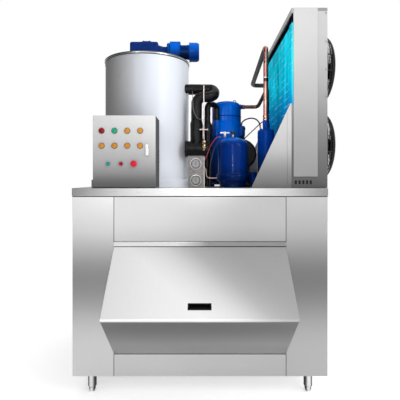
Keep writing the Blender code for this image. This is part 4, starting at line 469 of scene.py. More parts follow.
def whirl(shape, axis, steps):
    """Spins what a bmesh holds once round an axis through the origin."""
    bmesh.ops.spin(
        shape, geom=shape.verts[:] + shape.edges[:], cent=(0, 0, 0), axis=axis, angle=2 * math.pi,
        steps=steps, use_merge=True,
    )
    bmesh.ops.remove_doubles(shape, verts=shape.verts, dist=1e-6)
    bmesh.ops.recalc_face_normals(shape, faces=shape.faces)


def spun(profile, centre, axis=2, segments=64, soft=0, steps=3):
    """A profile of (radius, height) points, perhaps rounded, spun round an axis through a centre."""
    if soft:
        profile = rounded(profile, soft, steps)
    shape = bmesh.new()
    corners = [shape.verts.new((radius, 0, height)) for radius, height in profile]
    for pair in zip(corners, corners[1:]):
        shape.edges.new(pair)
    if profile[0][0] > 0 or profile[-1][0] > 0:
        shape.edges.new((corners[-1], corners[0]))
    whirl(shape, (0, 0, 1), segments)
    turn = {0: Matrix.Rotation(math.pi / 2, 4, "Y"), 1: Matrix.Rotation(-math.pi / 2, 4, "X")}
    if axis in turn:
        bmesh.ops.transform(shape, matrix=turn[axis], verts=shape.verts)
    shift(shape, centre)
    return shape


def mm(*points):
    """Points given in millimetres, turned into metres."""
    return [tuple(length / 1000 for length in point) for point in points]


def rounded(profile, radius, steps=3):
    """The profile with each inner corner replaced by a short arc."""
    points = [Vector(p) for p in profile]
    result = [points[0]]
    for before, corner, after in zip(points, points[1:], points[2:]):
        reach = min(radius, (before - corner).length * 0.45, (after - corner).length * 0.45)
        start = corner + (before - corner).normalized() * reach
        end = corner + (after - corner).normalized() * reach
        for step in range(steps + 1):
            share = step / steps
            result.append(start.lerp(corner, share).lerp(corner.lerp(end, share), share))
    result.append(points[-1])
    return [tuple(point) for point in result]


def middle_of(node):
    low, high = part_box(node)
    return (low + high) / 2


# Levelling feet: turned stainless, each a blunt bullet on a threaded stem that screws into the leg sleeve
FOOT_RADIUS = 0.0205
foot_steel = Finish("foot_steel", 205, 0.22, 1)
foot_rings = foot_steel.noise(500, (0.02, 0.02, 1), 2)
# Painted reflection of a round tube, broken by the turning rings
foot_steel.paint(painted_tube_reflection(foot_steel, FOOT_RADIUS, foot_rings))
foot_steel.bump(foot_rings, 0.00005)
for corner in ("front_left", "front_right", "rear_left", "rear_right"):
    node = f"levelling_foot_{corner}"
    low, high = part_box(node)
    head = low.z + 0.0321
    profile = [
        (0, 0), (0.012, 0), (0.0174, 0.009), (FOOT_RADIUS, 0.0205), (FOOT_RADIUS, head), (0.01, head),
        (0.01, high.z - 0.002), (0.0085, high.z), (0, high.z),
    ]
    centre = middle_of(node)
    stand_for(node, spun(profile, (centre.x, centre.y, 0), 2, 40, 0.002), foot_steel)

# Drum evaporator: a rolled and welded jacket under white enamel, foamed inside, with a beaded rim. It
# is cool white with a bluish cast; painted shade darkens its left side, where it faces the dark end of
# the studio, and painted light brightens it near its foot.
DRUM_X = -0.381
DRUM_Y = 0.522
DRUM_RADIUS = 0.295
DRUM_INNER = 0.25
DRUM_TOP = 0.882
RING_TOP = 0.05
LID_RADIUS = 0.301
LID_BOTTOM = 0.864
BEAD = 0.0022
OUTLET = (0.44, 0.672)

enamel = Finish("drum_enamel", 235, 0.3, specular=0.2, Coat_Weight=0.1, Coat_Roughness=0.12)
drum_x, _, drum_z = enamel.axes(spot(DRUM_X, DRUM_Y))
# Painted shade across the drum: dark on the left, cool white on the right
drum_flank_shade = enamel.ramp((drum_x / LID_RADIUS + 1) / 2, [
    (0, 130), (0.1, 120), (0.28, 162), (0.46, (0.47, 0.49, 0.54)), (0.62, (0.64, 0.665, 0.73)),
    (0.8, (0.72, 0.75, 0.82)), (0.92, (0.78, 0.8, 0.84)), (1, (0.72, 0.75, 0.8)),
], "B_SPLINE")
smear = enamel.noise(5, (1, 1, 0.35), 2)
# The drum's colour: painted shade on the left side and painted light near the foot
enamel.paint(enamel.shade(
    drum_flank_shade, smear.between(0.3, 0.75, 0.965, 1.01) * drum_z.between(0.06, 0.32, 1.22, 1),
))
enamel.feed("Roughness", smear.spread(0.26, 0.36))
enamel.bump(enamel.noise(14, detail=1), 0.0007)

shell_profile = [
    (DRUM_INNER, RING_TOP), (DRUM_RADIUS, RING_TOP), (DRUM_RADIUS, 0.062), (DRUM_RADIUS + BEAD, 0.066),
    (DRUM_RADIUS + BEAD, 0.07), (DRUM_RADIUS, 0.074), (DRUM_RADIUS, 0.842), (DRUM_RADIUS + BEAD, 0.846),
    (DRUM_RADIUS + BEAD, 0.852), (DRUM_RADIUS, 0.856), (DRUM_RADIUS, LID_BOTTOM - 0.0004),
    (DRUM_INNER, LID_BOTTOM - 0.0004),
]
shell = spun(shell_profile, spot(DRUM_X, DRUM_Y), 2, 128)


def round_bar(shape, radius, start, along, sides=32, edge=0):
    """Adds a round bar, from a point along a vector, to a bmesh; its ends are chamfered by an edge."""
    along = Vector(along)
    turn = along.to_track_quat("Z", "Y").to_matrix().to_4x4()
    made = bmesh.ops.create_cone(
        shape, cap_ends=True, cap_tris=False, segments=sides, radius1=radius, radius2=radius,
        depth=along.length, matrix=Matrix.Translation(Vector(start) + along / 2) @ turn,
    )
    if edge:
        rims = {e for v in made["verts"] for e in v.link_edges if e.calc_face_angle(0) > 1}
        round_off(shape, rims, edge, 2)


round_bar(shell, 0.03, spot(DRUM_X + 0.255, *OUTLET), (0.0545, 0, 0), 40, 0.002)
stand_for("drum_shell", shell, enamel)
show_folded("drum_base_ring", enamel, 0.0015, crease=40)

# Drum lid: a steel disc on a black gasket, its edge bare and painted with light and dark bands of
# reflection; four lugs clamp it down
lid_finish = Finish("lid_edge", 110, 0.3, 0.9)
lid_z = lid_finish.axes(spot(0, 0))[2]
# Black gasket at the foot, then painted reflection in light and dark bands up the bare edge
lid_finish.paint(lid_finish.ramp((lid_z - LID_BOTTOM) / (DRUM_TOP - LID_BOTTOM), [
    (0, 40), (0.24, 46), (0.3, 205), (0.55, 190), (0.66, 60), (0.9, 80), (0.975, 170),
]))
lid_finish.feed("Metallic", (lid_z - LID_BOTTOM).between(0.004, 0.006, 0, 1))
lid_bore = [
    (0.0265, LID_BOTTOM), (LID_RADIUS - 0.004, LID_BOTTOM), (LID_RADIUS - 0.004, LID_BOTTOM + 0.0045),
    (LID_RADIUS, LID_BOTTOM + 0.0055), (LID_RADIUS, DRUM_TOP - 0.0035),
    (LID_RADIUS - 0.0035, DRUM_TOP - 0.0004), (0.0265, DRUM_TOP - 0.0004),
]
stand_for("drum_lid", spun(lid_bore, spot(DRUM_X, DRUM_Y), 2, 128), lid_finish)

# Ice rotor inside the drum: a stainless shaft with arms that carry the toothed scraper blade
rotor_steel = mottled("rotor_steel", [(0.3, 170), (0.7, 210)], 0.3, 420, 1, (1, 1, 0.05), 2, 0.00005)
show_folded("rotor_shaft", rotor_steel, 0.0008, 1)
show_folded("scraper_blade", rotor_steel, 0.0006, 1)


# Gearmotor: cast worm reducer and finned motor in one blue enamel, with the fan cowl at the far end
def enamelled(name, top_colour, low_colour, low, high, depth=0.00003, across=(), seam=-1, bare=9, crown=()):
    """Gloss enamel on a casting or a tank, with painted shade that deepens its colour towards its foot and
    round its flanks, and may give it painted light on a crown that faces up.
    """
    finish = Finish(name, top_colour, 0.13, specular=0.06)
    beside, _, height = finish.axes(spot(0, 0))
    # Painted shade: the colour deepens towards the foot
    colour = finish.mix(height.between(low, high), low_colour, top_colour)
    # Painted light on a crown that faces up
    if crown:
        colour = finish.mix(height.between(*crown[:2]), colour, crown[2])
    # Painted shade round the flanks
    if across:
        centre, radius = across
        colour = finish.shade(colour, abs(beside - centre).between(radius * 0.35, radius, 1, 0.32))
    patch = finish.noise(9, detail=3)
    colour = finish.shade(colour, patch.between(0.3, 0.75, 0.86, 1.08))
    colour = finish.mix(abs(height - seam) < 0.0026, colour, (0, 0.01, 0.07))
    finish.paint(finish.mix(height > bare, colour, (0.42, 0.38, 0.3)))
    finish.feed("Metallic", height > bare)
    finish.feed("Roughness", patch.spread(0.1, 0.17))
    finish.bump(finish.noise(160, detail=2), depth)
    return finish


# Colours of the lit top and the shaded foot, for the painted shade on the motor and its cowl
BLUE_BRIGHT = (0, 0.125, 0.66)
BLUE_DEEP = (0, 0.024, 0.17)
GEAR_LEFT = -0.116
GEAR_RIGHT = 0.084
GEAR_HALF = 0.08
GEAR_LOW = 0.0125
GEAR_HIGH = 0.136
MOTOR_AXIS = 0.082
MOTOR_START = 0.146
MOTOR_RADIUS = 0.05


def join(shape, other):
    """Adds one bmesh to another."""
    passing = bpy.data.meshes.new("passing")
    other.to_mesh(passing)
    other.free()
    shape.from_mesh(passing)
    bpy.data.meshes.remove(passing)


cast_blue = enamelled("cast_blue", (0.005, 0.03, 0.18), (0.004, 0.014, 0.1), 0.89, 0.98, 0.0002)
gear_at = spot(DRUM_X, DRUM_Y, DRUM_TOP)
gear = bmesh.new()
block(gear, (GEAR_LEFT, -GEAR_HALF, GEAR_LOW), (GEAR_RIGHT, GEAR_HALF, GEAR_HIGH), 0.014, 4)
join(gear, spun(mm((0, 0.3), (92, 0.3), (92, 18.5), (0, 18.5)), (0, 0, 0), 2, 48, 0.003))
cover = mm((0, 130), (70, 130), (66, 142.5), (30, 143), (22, 147.5), (0, 147.5))
join(gear, spun(cover, (0, 0, 0), 2, 48, 0.003))
for turn in range(8):
    angle = math.pi * (2 * turn + 1) / 8
    x, y = 0.056 * math.cos(angle), 0.056 * math.sin(angle)
    round_bar(gear, 0.0062, (x, y, 0.138), (0, 0, 0.0095), 6, 0.0008)
for side in (-1, 1):
    for x in (GEAR_LEFT + 0.017, GEAR_RIGHT - 0.017):
        for z in (0.035, 0.115):
            round_bar(gear, 0.0065, (x, side * (GEAR_HALF - 0.004), z), (0, side * 0.008, 0), 6, 0.0008)
    face = spun(mm((0, 0), (44, 0), (40, 7), (16, 7), (13, 11), (0, 11)), (0, 0, 0), 1, 40)
    bmesh.ops.transform(
        face,
        matrix=Matrix.Translation((
            -0.016, side * GEAR_HALF, MOTOR_AXIS - 0.006,
        )) @ Matrix.Rotation(0 if side > 0 else math.pi, 4, "Z"),
        verts=face.verts,
    )
    join(gear, face)
neck = [
    (0, GEAR_RIGHT - 0.02), (0.056, GEAR_RIGHT - 0.02), (0.044, GEAR_RIGHT + 0.016),
    (0.04, GEAR_RIGHT + 0.03), (0.04, MOTOR_START - 0.006), (0.062, MOTOR_START - 0.004),
    (0.062, MOTOR_START - 0.0003), (0, MOTOR_START - 0.0003),
]
join(gear, spun(neck, (0, 0, MOTOR_AXIS), 0, 48, 0.004))
for number in range(4):
    x = GEAR_LEFT + 0.03 + number * 0.045
    block(gear, (x, -GEAR_HALF - 0.002, 0.022), (x + 0.006, GEAR_HALF + 0.002, 0.032), 0.001)
shift(gear, gear_at)
stand_for("gearbox", gear, cast_blue)

FIN_COUNT = 20
FIN_ROOT = 0.0415
motor_blue = enamelled("motor_blue", BLUE_BRIGHT, BLUE_DEEP, 0.92, 1, across=(DRUM_X + 0.192, 0.06))
motor = spun(mm((0, 146.4), (66, 146.4), (66, 158.3), (50, 161), (0, 161)), (0, 0, 0), 0, 48, 0.0025)
join(motor, spun(mm((0, 286), (53, 286), (53, 299.5), (0, 299.5)), (0, 0, 0), 0, 48, 0.002))
ribbed = bmesh.new()
ring = []
for fin in range(FIN_COUNT):
    for share, reach in ((0, FIN_ROOT), (0.58, FIN_ROOT), (0.66, MOTOR_RADIUS), (0.92, MOTOR_RADIUS)):
        angle = 2 * math.pi * (fin + share) / FIN_COUNT
        ring.append(ribbed.verts.new((0.16, reach * math.cos(angle), reach * math.sin(angle))))
grown = bmesh.ops.extrude_face_region(ribbed, geom=[ribbed.faces.new(ring)])["geom"]
bmesh.ops.translate(
    ribbed, vec=(0.127, 0, 0), verts=[v for v in grown if isinstance(v, bmesh.types.BMVert)],
)
bmesh.ops.recalc_face_normals(ribbed, faces=ribbed.faces)
join(motor, ribbed)
block(motor, (0.163, -0.029, 0.034), (0.237, 0.029, 0.06), 0.003)
block(motor, (0.161, -0.03, 0.0585), (0.239, 0.03, 0.0658), 0.003)
block(motor, (0.163, -0.059, -0.034), (0.237, -0.028, 0.06), 0.004)
round_bar(motor, 0.0085, (0.2, -0.044, -0.032), (0, 0, -0.012), 6, 0.001)
round_bar(motor, 0.0062, (0.2, -0.044, -0.04), (0, 0, -0.012), 20, 0.001)
for y in (-0.024, 0.024):
    for x in (0.168, 0.232):
        round_bar(motor, 0.0035, (x, y, 0.062), (0, 0, 0.0044), 12, 0.0008)
for turn in range(4):
    angle = math.pi * (2 * turn + 1) / 4
    y, z = 0.057 * math.cos(angle), 0.057 * math.sin(angle)
    round_bar(motor, 0.0062, (0.157, y, z), (0.0095, 0, 0), 6, 0.0008)
shift(motor, gear_at + Vector((0, 0, MOTOR_AXIS)))
stand_for("motor_body", motor, motor_blue)

cowl_blue = enamelled("cowl_blue", BLUE_BRIGHT, BLUE_DEEP, 0.91, 1.03)
cowl_axis = gear_at + Vector((0, 0, MOTOR_AXIS))
cowl = spun(mm(
    (0, 300.5), (68.5, 300.5), (70, 302), (70, 307), (67.5, 309), (67.5, 350), (65.5, 361), (58, 370.5),
    (56, 371.2), (54.5, 368), (49, 368), (47.5, 371.2), (45.5, 371.2), (44, 368), (39, 368), (37.5, 371.2),
    (35.5, 371.2), (34, 368), (29, 368), (27.5, 371.2), (0, 371.2),
), cowl_axis, 0)
stand_for("motor_cowl", cowl, cowl_blue, 25)

# Control box: a folded sheet case with louvres in its right side, closed by a hinged front pan that
# carries eight lamps, three buttons and a chrome latch. The pan is satin grey; painted shade makes it
# paler towards its top and darker towards its foot.
CASE_RIGHT = -0.2626
CASE_TOP = 0.4275
DOOR_FACE = 0.005
LAMP_FIRST = -0.5792
LAMP_PITCH = 0.0756
LAMP_ROWS = (0.3374, 0.2491)
LOUVRE_COUNT = 6
LOUVRE_FIRST = 0.1115
LOUVRE_PITCH = 0.0225
LENS_RADIUS = 0.0154
LENS_PROUD = 0.0115

case_paint = Finish("case_paint", 70, 0.6, specular=0)
peel = case_paint.noise(900, detail=1)
case_paint.paint(case_paint.ramp(case_paint.noise(7), [(0.3, 98), (0.7, 110)]))
case_paint.bump(peel, 0.00006)
case = folded_copy("control_case", 0.0012)
for number in range(LOUVRE_COUNT):
    z = LOUVRE_FIRST + LOUVRE_PITCH * number
    block(case, spot(CASE_RIGHT - 0.001, 0.157, z), spot(CASE_RIGHT + 0.0045, 0.183, z + 0.006), 0.0026, 3)
stand_for("control_case", case, case_paint)

pan_paint = Finish("pan_paint", 200, 0.42, 0.15, specular=0.2)
pan_height = pan_paint.axes(spot(0, 0))[2]
# Painted shade: the pan darkens towards its foot
painted_falloff = pan_paint.ramp(pan_height / CASE_TOP, [
    (0, 82), (0.1, 95), (0.2, 132), (0.34, 160), (0.55, 180), (0.8, 197), (1, 203),
], "B_SPLINE")
brushing = pan_paint.noise(GRAIN_SCALE, (0.02, 1, 1), 2)
pan_paint.paint(pan_paint.shade(painted_falloff, brushing.between(0.25, 0.75, 0.97, 1.02)))
pan_paint.feed("Roughness", brushing.between(0.25, 0.75, 0.32, 0.42))
show_folded("control_door", pan_paint, 0.0009)


def lens_finish(name, colour, dark):
    """Moulded lens or cap, mottled between its colour and a darker one, with the grooves of a moulding."""
    finish = Finish(name, colour, 0.22, specular=0.15)
    speckle = finish.noise(260, detail=2)
    finish.paint(finish.mix(speckle.between(0.3, 0.7), dark, colour))
    finish.bump(speckle, 0.0002)
    return finish


def button_face(radius, proud, x, z):
    """A dome on a short wall, standing out to the front."""
    face = DOOR_FACE - 0.0002
    profile = [
        (0, 0), (radius, 0), (radius, -proud * 0.62), (radius * 0.88, -proud * 0.86),
        (radius * 0.5, -proud * 0.98), (0, -proud),
    ]
    return spun(profile, spot(x, face, z), 1, 40, 0.0012, 2)


lamp_rings = bmesh.new()
for row, z in enumerate(LAMP_ROWS):
    for column in range(4):
        rim = mm((14.5, 0), (18.2, 0), (18.2, -2.5), (17, -4), (14.5, -4))
        join(lamp_rings, spun(rim, spot(LAMP_FIRST + LAMP_PITCH * column, DOOR_FACE, z), 1, 40))
ring_finish = mottled("lamp_ring", [(0.3, 80), (0.7, 120)], 0.25, 90, 0.8)
add_piece("lamp_rings", lamp_rings, ring_finish, "control_door")
for name, colour, dark, places in (
    ("red_lamp", (0.31, 0.005, 0.008), (0.2, 0.003, 0.005), [(0, 0)]),
    ("green_lamp", (0.018, 0.42, 0.22), (0.008, 0.24, 0.13), [(1, 0)]),
    (
        "amber_lamps", (0.6, 0.265, 0.036), (0.44, 0.17, 0.018),
        [(2, 0), (3, 0), (0, 1), (1, 1), (2, 1), (3, 1)],
    ),
):
    lenses = bmesh.new()
    for column, row in places:
        join(lenses, button_face(LENS_RADIUS, LENS_PROUD, LAMP_FIRST + LAMP_PITCH * column, LAMP_ROWS[row]))
    add_piece(name, lenses, lens_finish(name, colour, dark), "control_door")
show_folded("start_button", lens_finish("start_cap", (0.022, 0.29, 0.28), (0.012, 0.19, 0.18)), 0.0006)
show_folded("stop_button", lens_finish("stop_cap", (0.4, 0.006, 0.012), (0.27, 0.003, 0.007)), 0.0006)
show_folded(
    "emergency_button", lens_finish("stop_mushroom", (0.68, 0.016, 0.04), (0.5, 0.008, 0.022)), 0.001, 3,
)

# Chrome latch lever in its frame, the strip that the case is screwed to, and the relay plate inside
latch_chrome = mottled("latch_chrome", 240, (0.1, 0.24), 160, 1)
show_folded("latch_lever", latch_chrome, 0.0012, 3)
strip_steel = mottled("strip_steel", [(0.3, 104), (0.7, 124)], 0.4, GRAIN_SCALE, 0.8, (0.02, 1, 1))
show_folded("control_mount", strip_steel, 0.0012)
relay_finish = Finish("relay_plate", 205, 0.45)
depth_in = relay_finish.axes(spot(0, 0.196, 0))[1]
relay_finish.paint(relay_finish.mix(depth_in < 0, 200, (0.55, 0.56, 0.54)))
relay_finish.bump(relay_finish.noise(300, detail=1), 0.0001)
show_folded("relay_plate", relay_finish, 0.0008, 1)

# Gauge panel: galvanised sheet with a folded foot, carrying a low- and a high-pressure gauge. Each gauge
# has a chrome bezel, a pale dial with a printed scale and a pointer.
GAUGE_X = -0.0255
GAUGE_HEIGHTS = (("upper", 0.1446), ("lower", 0.0457))
PANEL_FACE = 0.06
DIAL_FACE = 0.0556
TICKS = 25
DIAL_SWEEP = 270
BEZEL_RADIUS = 0.033

galvanised = Finish("galvanised_panel", 158, 0.42, 0.6)
flakes = galvanised.node(
    "ShaderNodeTexVoronoi", {}, {"Vector": galvanised.place(), "Scale": 210}, output="Color",
)
flake_tone = galvanised.node("ShaderNodeSeparateColor", {}, {0: flakes}, output=0)
panel_z = galvanised.axes(spot(0, 0))[2]
# Zinc spangle, with painted shade on the fold along the panel's top
spangle_and_shade = galvanised.shade(
    galvanised.ramp(flake_tone, [(0, (0.078, 0.072, 0.071)), (1, (0.205, 0.192, 0.188))]),
    panel_z.between(0.186, 0.191, 1, 0.45),
)
galvanised.paint(spangle_and_shade)
galvanised.feed("Roughness", flake_tone.between(0, 1, 0.34, 0.5))
show_folded("gauge_panel", galvanised, 0.0012)
dial_black = mottled("dial_black", 40, (0.4, 0.6), 80)
for level, z in GAUGE_HEIGHTS:
    bezel = mm(
        (0, 27.5), (25.5, 27.5), (26, 26.8), (26, -0.2), (33, -0.4), (33, -2.2), (29.5, -2.6), (29.5, -7.5),
        (28.5, -9.8), (26.2, -9.8), (25, -7.2), (24.8, -4), (0, -4),
    )
    gauge = spun(bezel, spot(GAUGE_X, PANEL_FACE, z), 1, 72)
    gauge_chrome = Finish(f"gauge_chrome_{level}", 170, 0.24, 1)
    side, _, up = gauge_chrome.axes(spot(GAUGE_X, PANEL_FACE, z))
    reach = (side**2 + up**2) ** 0.5
    gauge_chrome.feed("Metallic", reach.between(0.0246, 0.025, 0, 1))
    gauge_chrome.feed("Roughness", reach.between(0.0246, 0.025, 0.45, 0.36))
    # Painted reflection on the chrome: a dark ring on the raised rim and a bright ring on the flange; the
    # dial inside keeps its own grey
    gauge_chrome.paint(gauge_chrome.ramp(reach / BEZEL_RADIUS, [
        (0, 136), (0.74, 132), (0.765, 46), (0.885, 40), (0.9, 170), (1, 176),
    ]))
    stand_for(f"gauge_{level}", gauge, gauge_chrome, 30)
    scale = bmesh.new()
    for tick in range(TICKS):
        angle = math.radians(-45 + DIAL_SWEEP * tick / (TICKS - 1))
        long = tick % 4 == 0
        start, end = (0.0168 if long else 0.0192), 0.0222
        width = 0.0005 if long else 0.00025
        mark = bmesh.new()
        block(mark, (start, -0.0002, -width), (end, 0.0004, width))
        bmesh.ops.rotate(mark, cent=(0, 0, 0), matrix=Matrix.Rotation(angle, 3, "Y"), verts=mark.verts)
        shift(mark, spot(GAUGE_X, DIAL_FACE + 0.0001, z))
        join(scale, mark)
    add_piece(f"gauge_scale_{level}", scale, dial_black, "machine")
    show_folded(f"gauge_needle_{level}", dial_black, 0.0003, 1)

# Compressor: a semi-hermetic hull in bright blue gloss, a wide bottom shell, a necked-in top shell and a
# domed lid, welded at the seams. It stands on a foot plate, with stubs for the suction and the discharge.
COMPRESSOR = (0.192, 0.6)
PLATE_HALF = 0.135
MOUNT = 0.112
PORT_HEIGHT = 0.585


def spot_by(base, x, y=0, z=0):
    """A spot beside a base point on the deck."""
    return spot(base[0] + x, base[1] + y, z)


# Painted shade round the flanks and towards the foot
hull_blue = enamelled(
    "hull_blue", (0, 0.12, 0.64), (0, 0.012, 0.1), 0.02, 0.56, across=(0.192, 0.125), seam=0.506,
)
hull_profile = mm(
    (0, 30.3), (126, 30.3), (131, 36), (134, 48), (134, 395), (131, 412), (122, 438), (112, 455),
    (107, 470), (107, 502), (108.5, 503.5), (108.5, 508.5), (107, 510), (107, 578), (103, 594), (92, 607.5),
    (70, 616.5), (35, 621.5), (0, 622.5),
)
hull = spun(hull_profile, spot(*COMPRESSOR), 2, 96, 0.01, 2)
for x, y, radius, top in ((-0.0764, -0.1077, 0.022, 0.4697), (0.103, -0.095, 0.024, 0.43)):
    stub = [(0, 0.36), (radius, 0.36), (radius, top - 0.006), (radius - 0.003, top), (0, top)]
    join(hull, spun(stub, spot_by(COMPRESSOR, x, y), 2, 40))
    join(hull, spun([
        (0, 0.404), (radius + 0.003, 0.404), (radius + 0.003, 0.418), (0, 0.418),
    ], spot_by(COMPRESSOR, x, y), 2, 6))
round_bar(hull, 0.0165, spot_by(COMPRESSOR, 0.09, 0, PORT_HEIGHT), (0.0285, 0, 0), 32, 0.002)
round_bar(hull, 0.0195, spot_by(COMPRESSOR, 0.098, 0, PORT_HEIGHT), (0.01, 0, 0), 6, 0.001)
block(
    hull, spot_by(COMPRESSOR, -PLATE_HALF, -PLATE_HALF, 0.012),
    spot_by(COMPRESSOR, PLATE_HALF, PLATE_HALF, 0.0302), 0.004,
)
for x, y in ((-MOUNT, -MOUNT), (-MOUNT, MOUNT), (MOUNT, -MOUNT), (MOUNT, MOUNT)):
    round_bar(hull, 0.02, spot_by(COMPRESSOR, x, y), (0, 0, 0.013), 24, 0.003)
    round_bar(hull, 0.009, spot_by(COMPRESSOR, x, y, 0.03), (0, 0, 0.008), 6, 0.001)
eye = bmesh.new()
bmesh.ops.create_circle(eye, radius=0.0028, segments=16)
shift(eye, (0.0105, 0, 0))
whirl(eye, (0, 1, 0), 32)
shift(eye, spot_by(COMPRESSOR, 0.059, 0, 0.6225))
join(hull, eye)
stand_for("compressor", hull, hull_blue)

# Receiver: a deep-blue bottle with a domed top on a flared foot ring. Two valves with turned knobs stand
# on the dome, one with a white cross handle and one with a black cap.
RECEIVER = (0.21, 0.22)
LIQUID_VALVE = -0.052
# Painted light on the dome, which faces up, and painted shade round the flanks and towards the foot
bottle_blue = enamelled(
    "bottle_blue", (0.001, 0.021, 0.155), (0, 0.008, 0.055), 0.02, 0.16, across=(0.21, 0.15), bare=0.3225,
    crown=(0.274, 0.308, (0, 0.095, 0.5)),
)
bottle_profile = mm(
    (0, 0), (83, 0), (86, 4), (84, 18), (90, 30), (104, 44), (107, 50), (107, 74), (104, 82), (97.5, 85),
    (95.6, 90), (95.6, 262), (94, 276), (86, 291), (66, 306), (40, 316), (18, 320.5), (0, 321),
)
bottle = spun(bottle_profile, spot(*RECEIVER), 2, 80, 0.006, 2)
for x in (LIQUID_VALVE, 0):
    collar = mm((6.2, 292), (13, 292), (13, 323.5), (10.5, 326.5), (9, 327.5), (9, 337.2), (6.2, 337.8))
    join(bottle, spun(collar, spot_by(RECEIVER, x), 2, 24))
stand_for("receiver", bottle, bottle_blue)
knob_white = mottled("knob_white", [(0.3, 205), (0.7, 235)], 0.3, 120)
cap_black = mottled("cap_black", 26, (0.28, 0.5), 120)
handle = spun(
    mm((0, 326.2), (6.2, 326.2), (7.5, 340), (7.5, 357), (0, 357.5)), spot_by(RECEIVER, LIQUID_VALVE), 2,
    24, 0.0015,
)
for along in (Vector((0.0295, 0, 0)), Vector((0, 0.018, 0))):
    hub = spot_by(RECEIVER, LIQUID_VALVE, 0, 0.35)
    round_bar(handle, 0.0044, hub - along, along * 2, 16, 0.0015)
stand_for("liquid_valve_knob", handle, knob_white)
show_folded("relief_valve_knob", cap_black, 0.0012)

# Suction accumulator lying behind the receiver in black foam, and the blue oil separator and drier
foam_skin = mottled(
    "foam_skin", [(0.3, 5), (0.55, 12), (0.8, 26)], (0.36, 0.6), 38, 0, (1, 1, 1), 4, 0.004, 0.6,
    specular=0.2,
)
show_folded("suction_accumulator", foam_skin, 0.006, 3, 40)
OIL_SEPARATOR = (0.443, 0.35)
HOT_INLET = (0.459, 0.386)
DRIER = (0.345, 0.27)
tank_blue = enamelled("tank_blue", (0, 0.05, 0.36), (0, 0.016, 0.12), 0.02, 0.42)
tank = spun(mm(
    (0, 0), (52, 0), (56, 6), (56, 372), (50, 384.5), (34, 386.5), (21.5, 392), (21.5, 447.5), (0, 447.5),
), spot(*OIL_SEPARATOR), 2, soft=0.006, steps=2)
for z in (0.04, 0.33):
    join(tank, spun([
        (0.0555, z), (0.0572, z + 0.002), (0.0572, z + 0.006), (0.0555, z + 0.008),
    ], spot(*OIL_SEPARATOR), 2))
join(tank, spun(mm((0, 380), (16.5, 380), (16.5, 392), (16.2, 404.5), (0, 404.5)), spot(*HOT_INLET), 2, 32))
round_bar(tank, 0.009, spot(0.409, 0.35, 0.38), (0, 0, 0.013), 6, 0.001)
stand_for("oil_separator", tank, tank_blue)
drier = spun(mm(
    (0, 0), (14, 0), (14, 22), (26, 24), (26, 94), (16, 99.5), (0, 99.8),
), spot(*DRIER), 2, soft=0.004, steps=2)
stand_for("filter_drier", drier, tank_blue)

# Insulated suction line: black foam hose slid over the pipes, wrinkled where it bends. It leaves the
# drum, turns back and falls into the heat exchanger, and a thinner one arches over to the compressor.
SUCTION_RADIUS = 0.0362
WRINKLE_DEPTH = 0.0016


def pipe_run(points, radius, bend=0.03, sides=6, spacing=0):
    """A round pipe along straight runs joined by bends, or in short lengths where it has to be uneven."""
    line = [Vector(p) for p in rounded(points, bend, 8)]
    if spacing:
        fine = []
        for start, end in zip(line, line[1:]):
            parts = max(1, round((end - start).length / spacing))
            fine += [start.lerp(end, part / parts) for part in range(parts)]
        line = fine + [line[-1]]
    curve = bpy.data.curves.new("run", "CURVE")
    curve.dimensions = "3D"
    curve.bevel_depth = radius
    curve.bevel_resolution = sides
    curve.use_fill_caps = True
    spline = curve.splines.new("POLY")
    spline.points.add(len(line) - 1)
    for point, place in zip(spline.points, line):
        point.co = (*spot(*place), 1)
    holder = bpy.data.objects.new("run", curve)
    swept = bpy.data.meshes.new_from_object(holder)
    shape = bmesh.new()
    shape.from_mesh(swept)
    bpy.data.objects.remove(holder)
    bpy.data.curves.remove(curve)
    bpy.data.meshes.remove(swept)
    bmesh.ops.remove_doubles(shape, verts=shape.verts, dist=1e-5)
    bmesh.ops.recalc_face_normals(shape, faces=shape.faces)
    return shape


def wrinkled(shape, depth=WRINKLE_DEPTH, scale=34):
    """Makes foam hose uneven, with shallow folds."""
    shape.normal_update()
    moves = [v.normal * noise.fractal(v.co * scale, 1, 2, 3) * depth for v in shape.verts]
    for vert, move in zip(shape.verts, moves):
        vert.co += move
    return shape


def foam(name, folds):
    return mottled(
        name, [(0.3, 2), (0.55, 8), (0.8, 20)], (0.24, 0.48), 26, 0, folds, 4, 0.006, 0.62, specular=0.2,
    )


suction_route = mm((-113, 440, 678), (94.5, 440, 678), (94.5, 366, 614), (-26, 345, 604), (-26, 345, 452.5))
suction_foam = foam("suction_foam", (1.6, 1, 1))
stand_for(
    "suction_pipe", wrinkled(pipe_run(suction_route, SUCTION_RADIUS, 0.052, 9, 0.008)), suction_foam, 60,
)
arch_route = mm((48.9, 420, 452.5), (48.9, 420, 577), (115.6, 492.3, 577), (115.6, 492.3, 470.5))
stand_for(
    "compressor_suction_pipe", wrinkled(pipe_run(arch_route, 0.0205, 0.045, 7, 0.008)), suction_foam, 60,
)

# Heat exchanger: a lying copper barrel and two upright columns, all wrapped in black foam, with a
# wrapped liquid line down to the deck
exchanger_foam = foam("exchanger_foam", (0.7, 1, 1))
exchanger = spun(mm(
    (0, -105), (56, -105), (56, -85), (52, -80), (52, 60), (0, 60),
), spot(0, 0.345, 0.256), 0, soft=0.008)
for x, y, wide, narrow in ((-0.026, 0.345, 0.0425, 0.036), (0.0489, 0.42, 0.031, 0.0205)):
    column = [(0, 0.25), (wide, 0.25)] + [
        (wide, 0.25 + 0.0125 * step)
        for step in range(1, 15)
    ] + [(narrow, 0.4515), (0, 0.4515)]
    join(exchanger, spun(column, spot(x, y), 2, 40))
round_bar(exchanger, 0.02, spot(0.046, 0.345, 0.262), (0, 0.075, 0), 24)
round_bar(exchanger, 0.009, spot(0.0229, 0.2945, 0.262), (0, 0.0255, 0), 24)
stand_for("heat_exchanger", wrinkled(exchanger, 0.0009), exchanger_foam, 50)
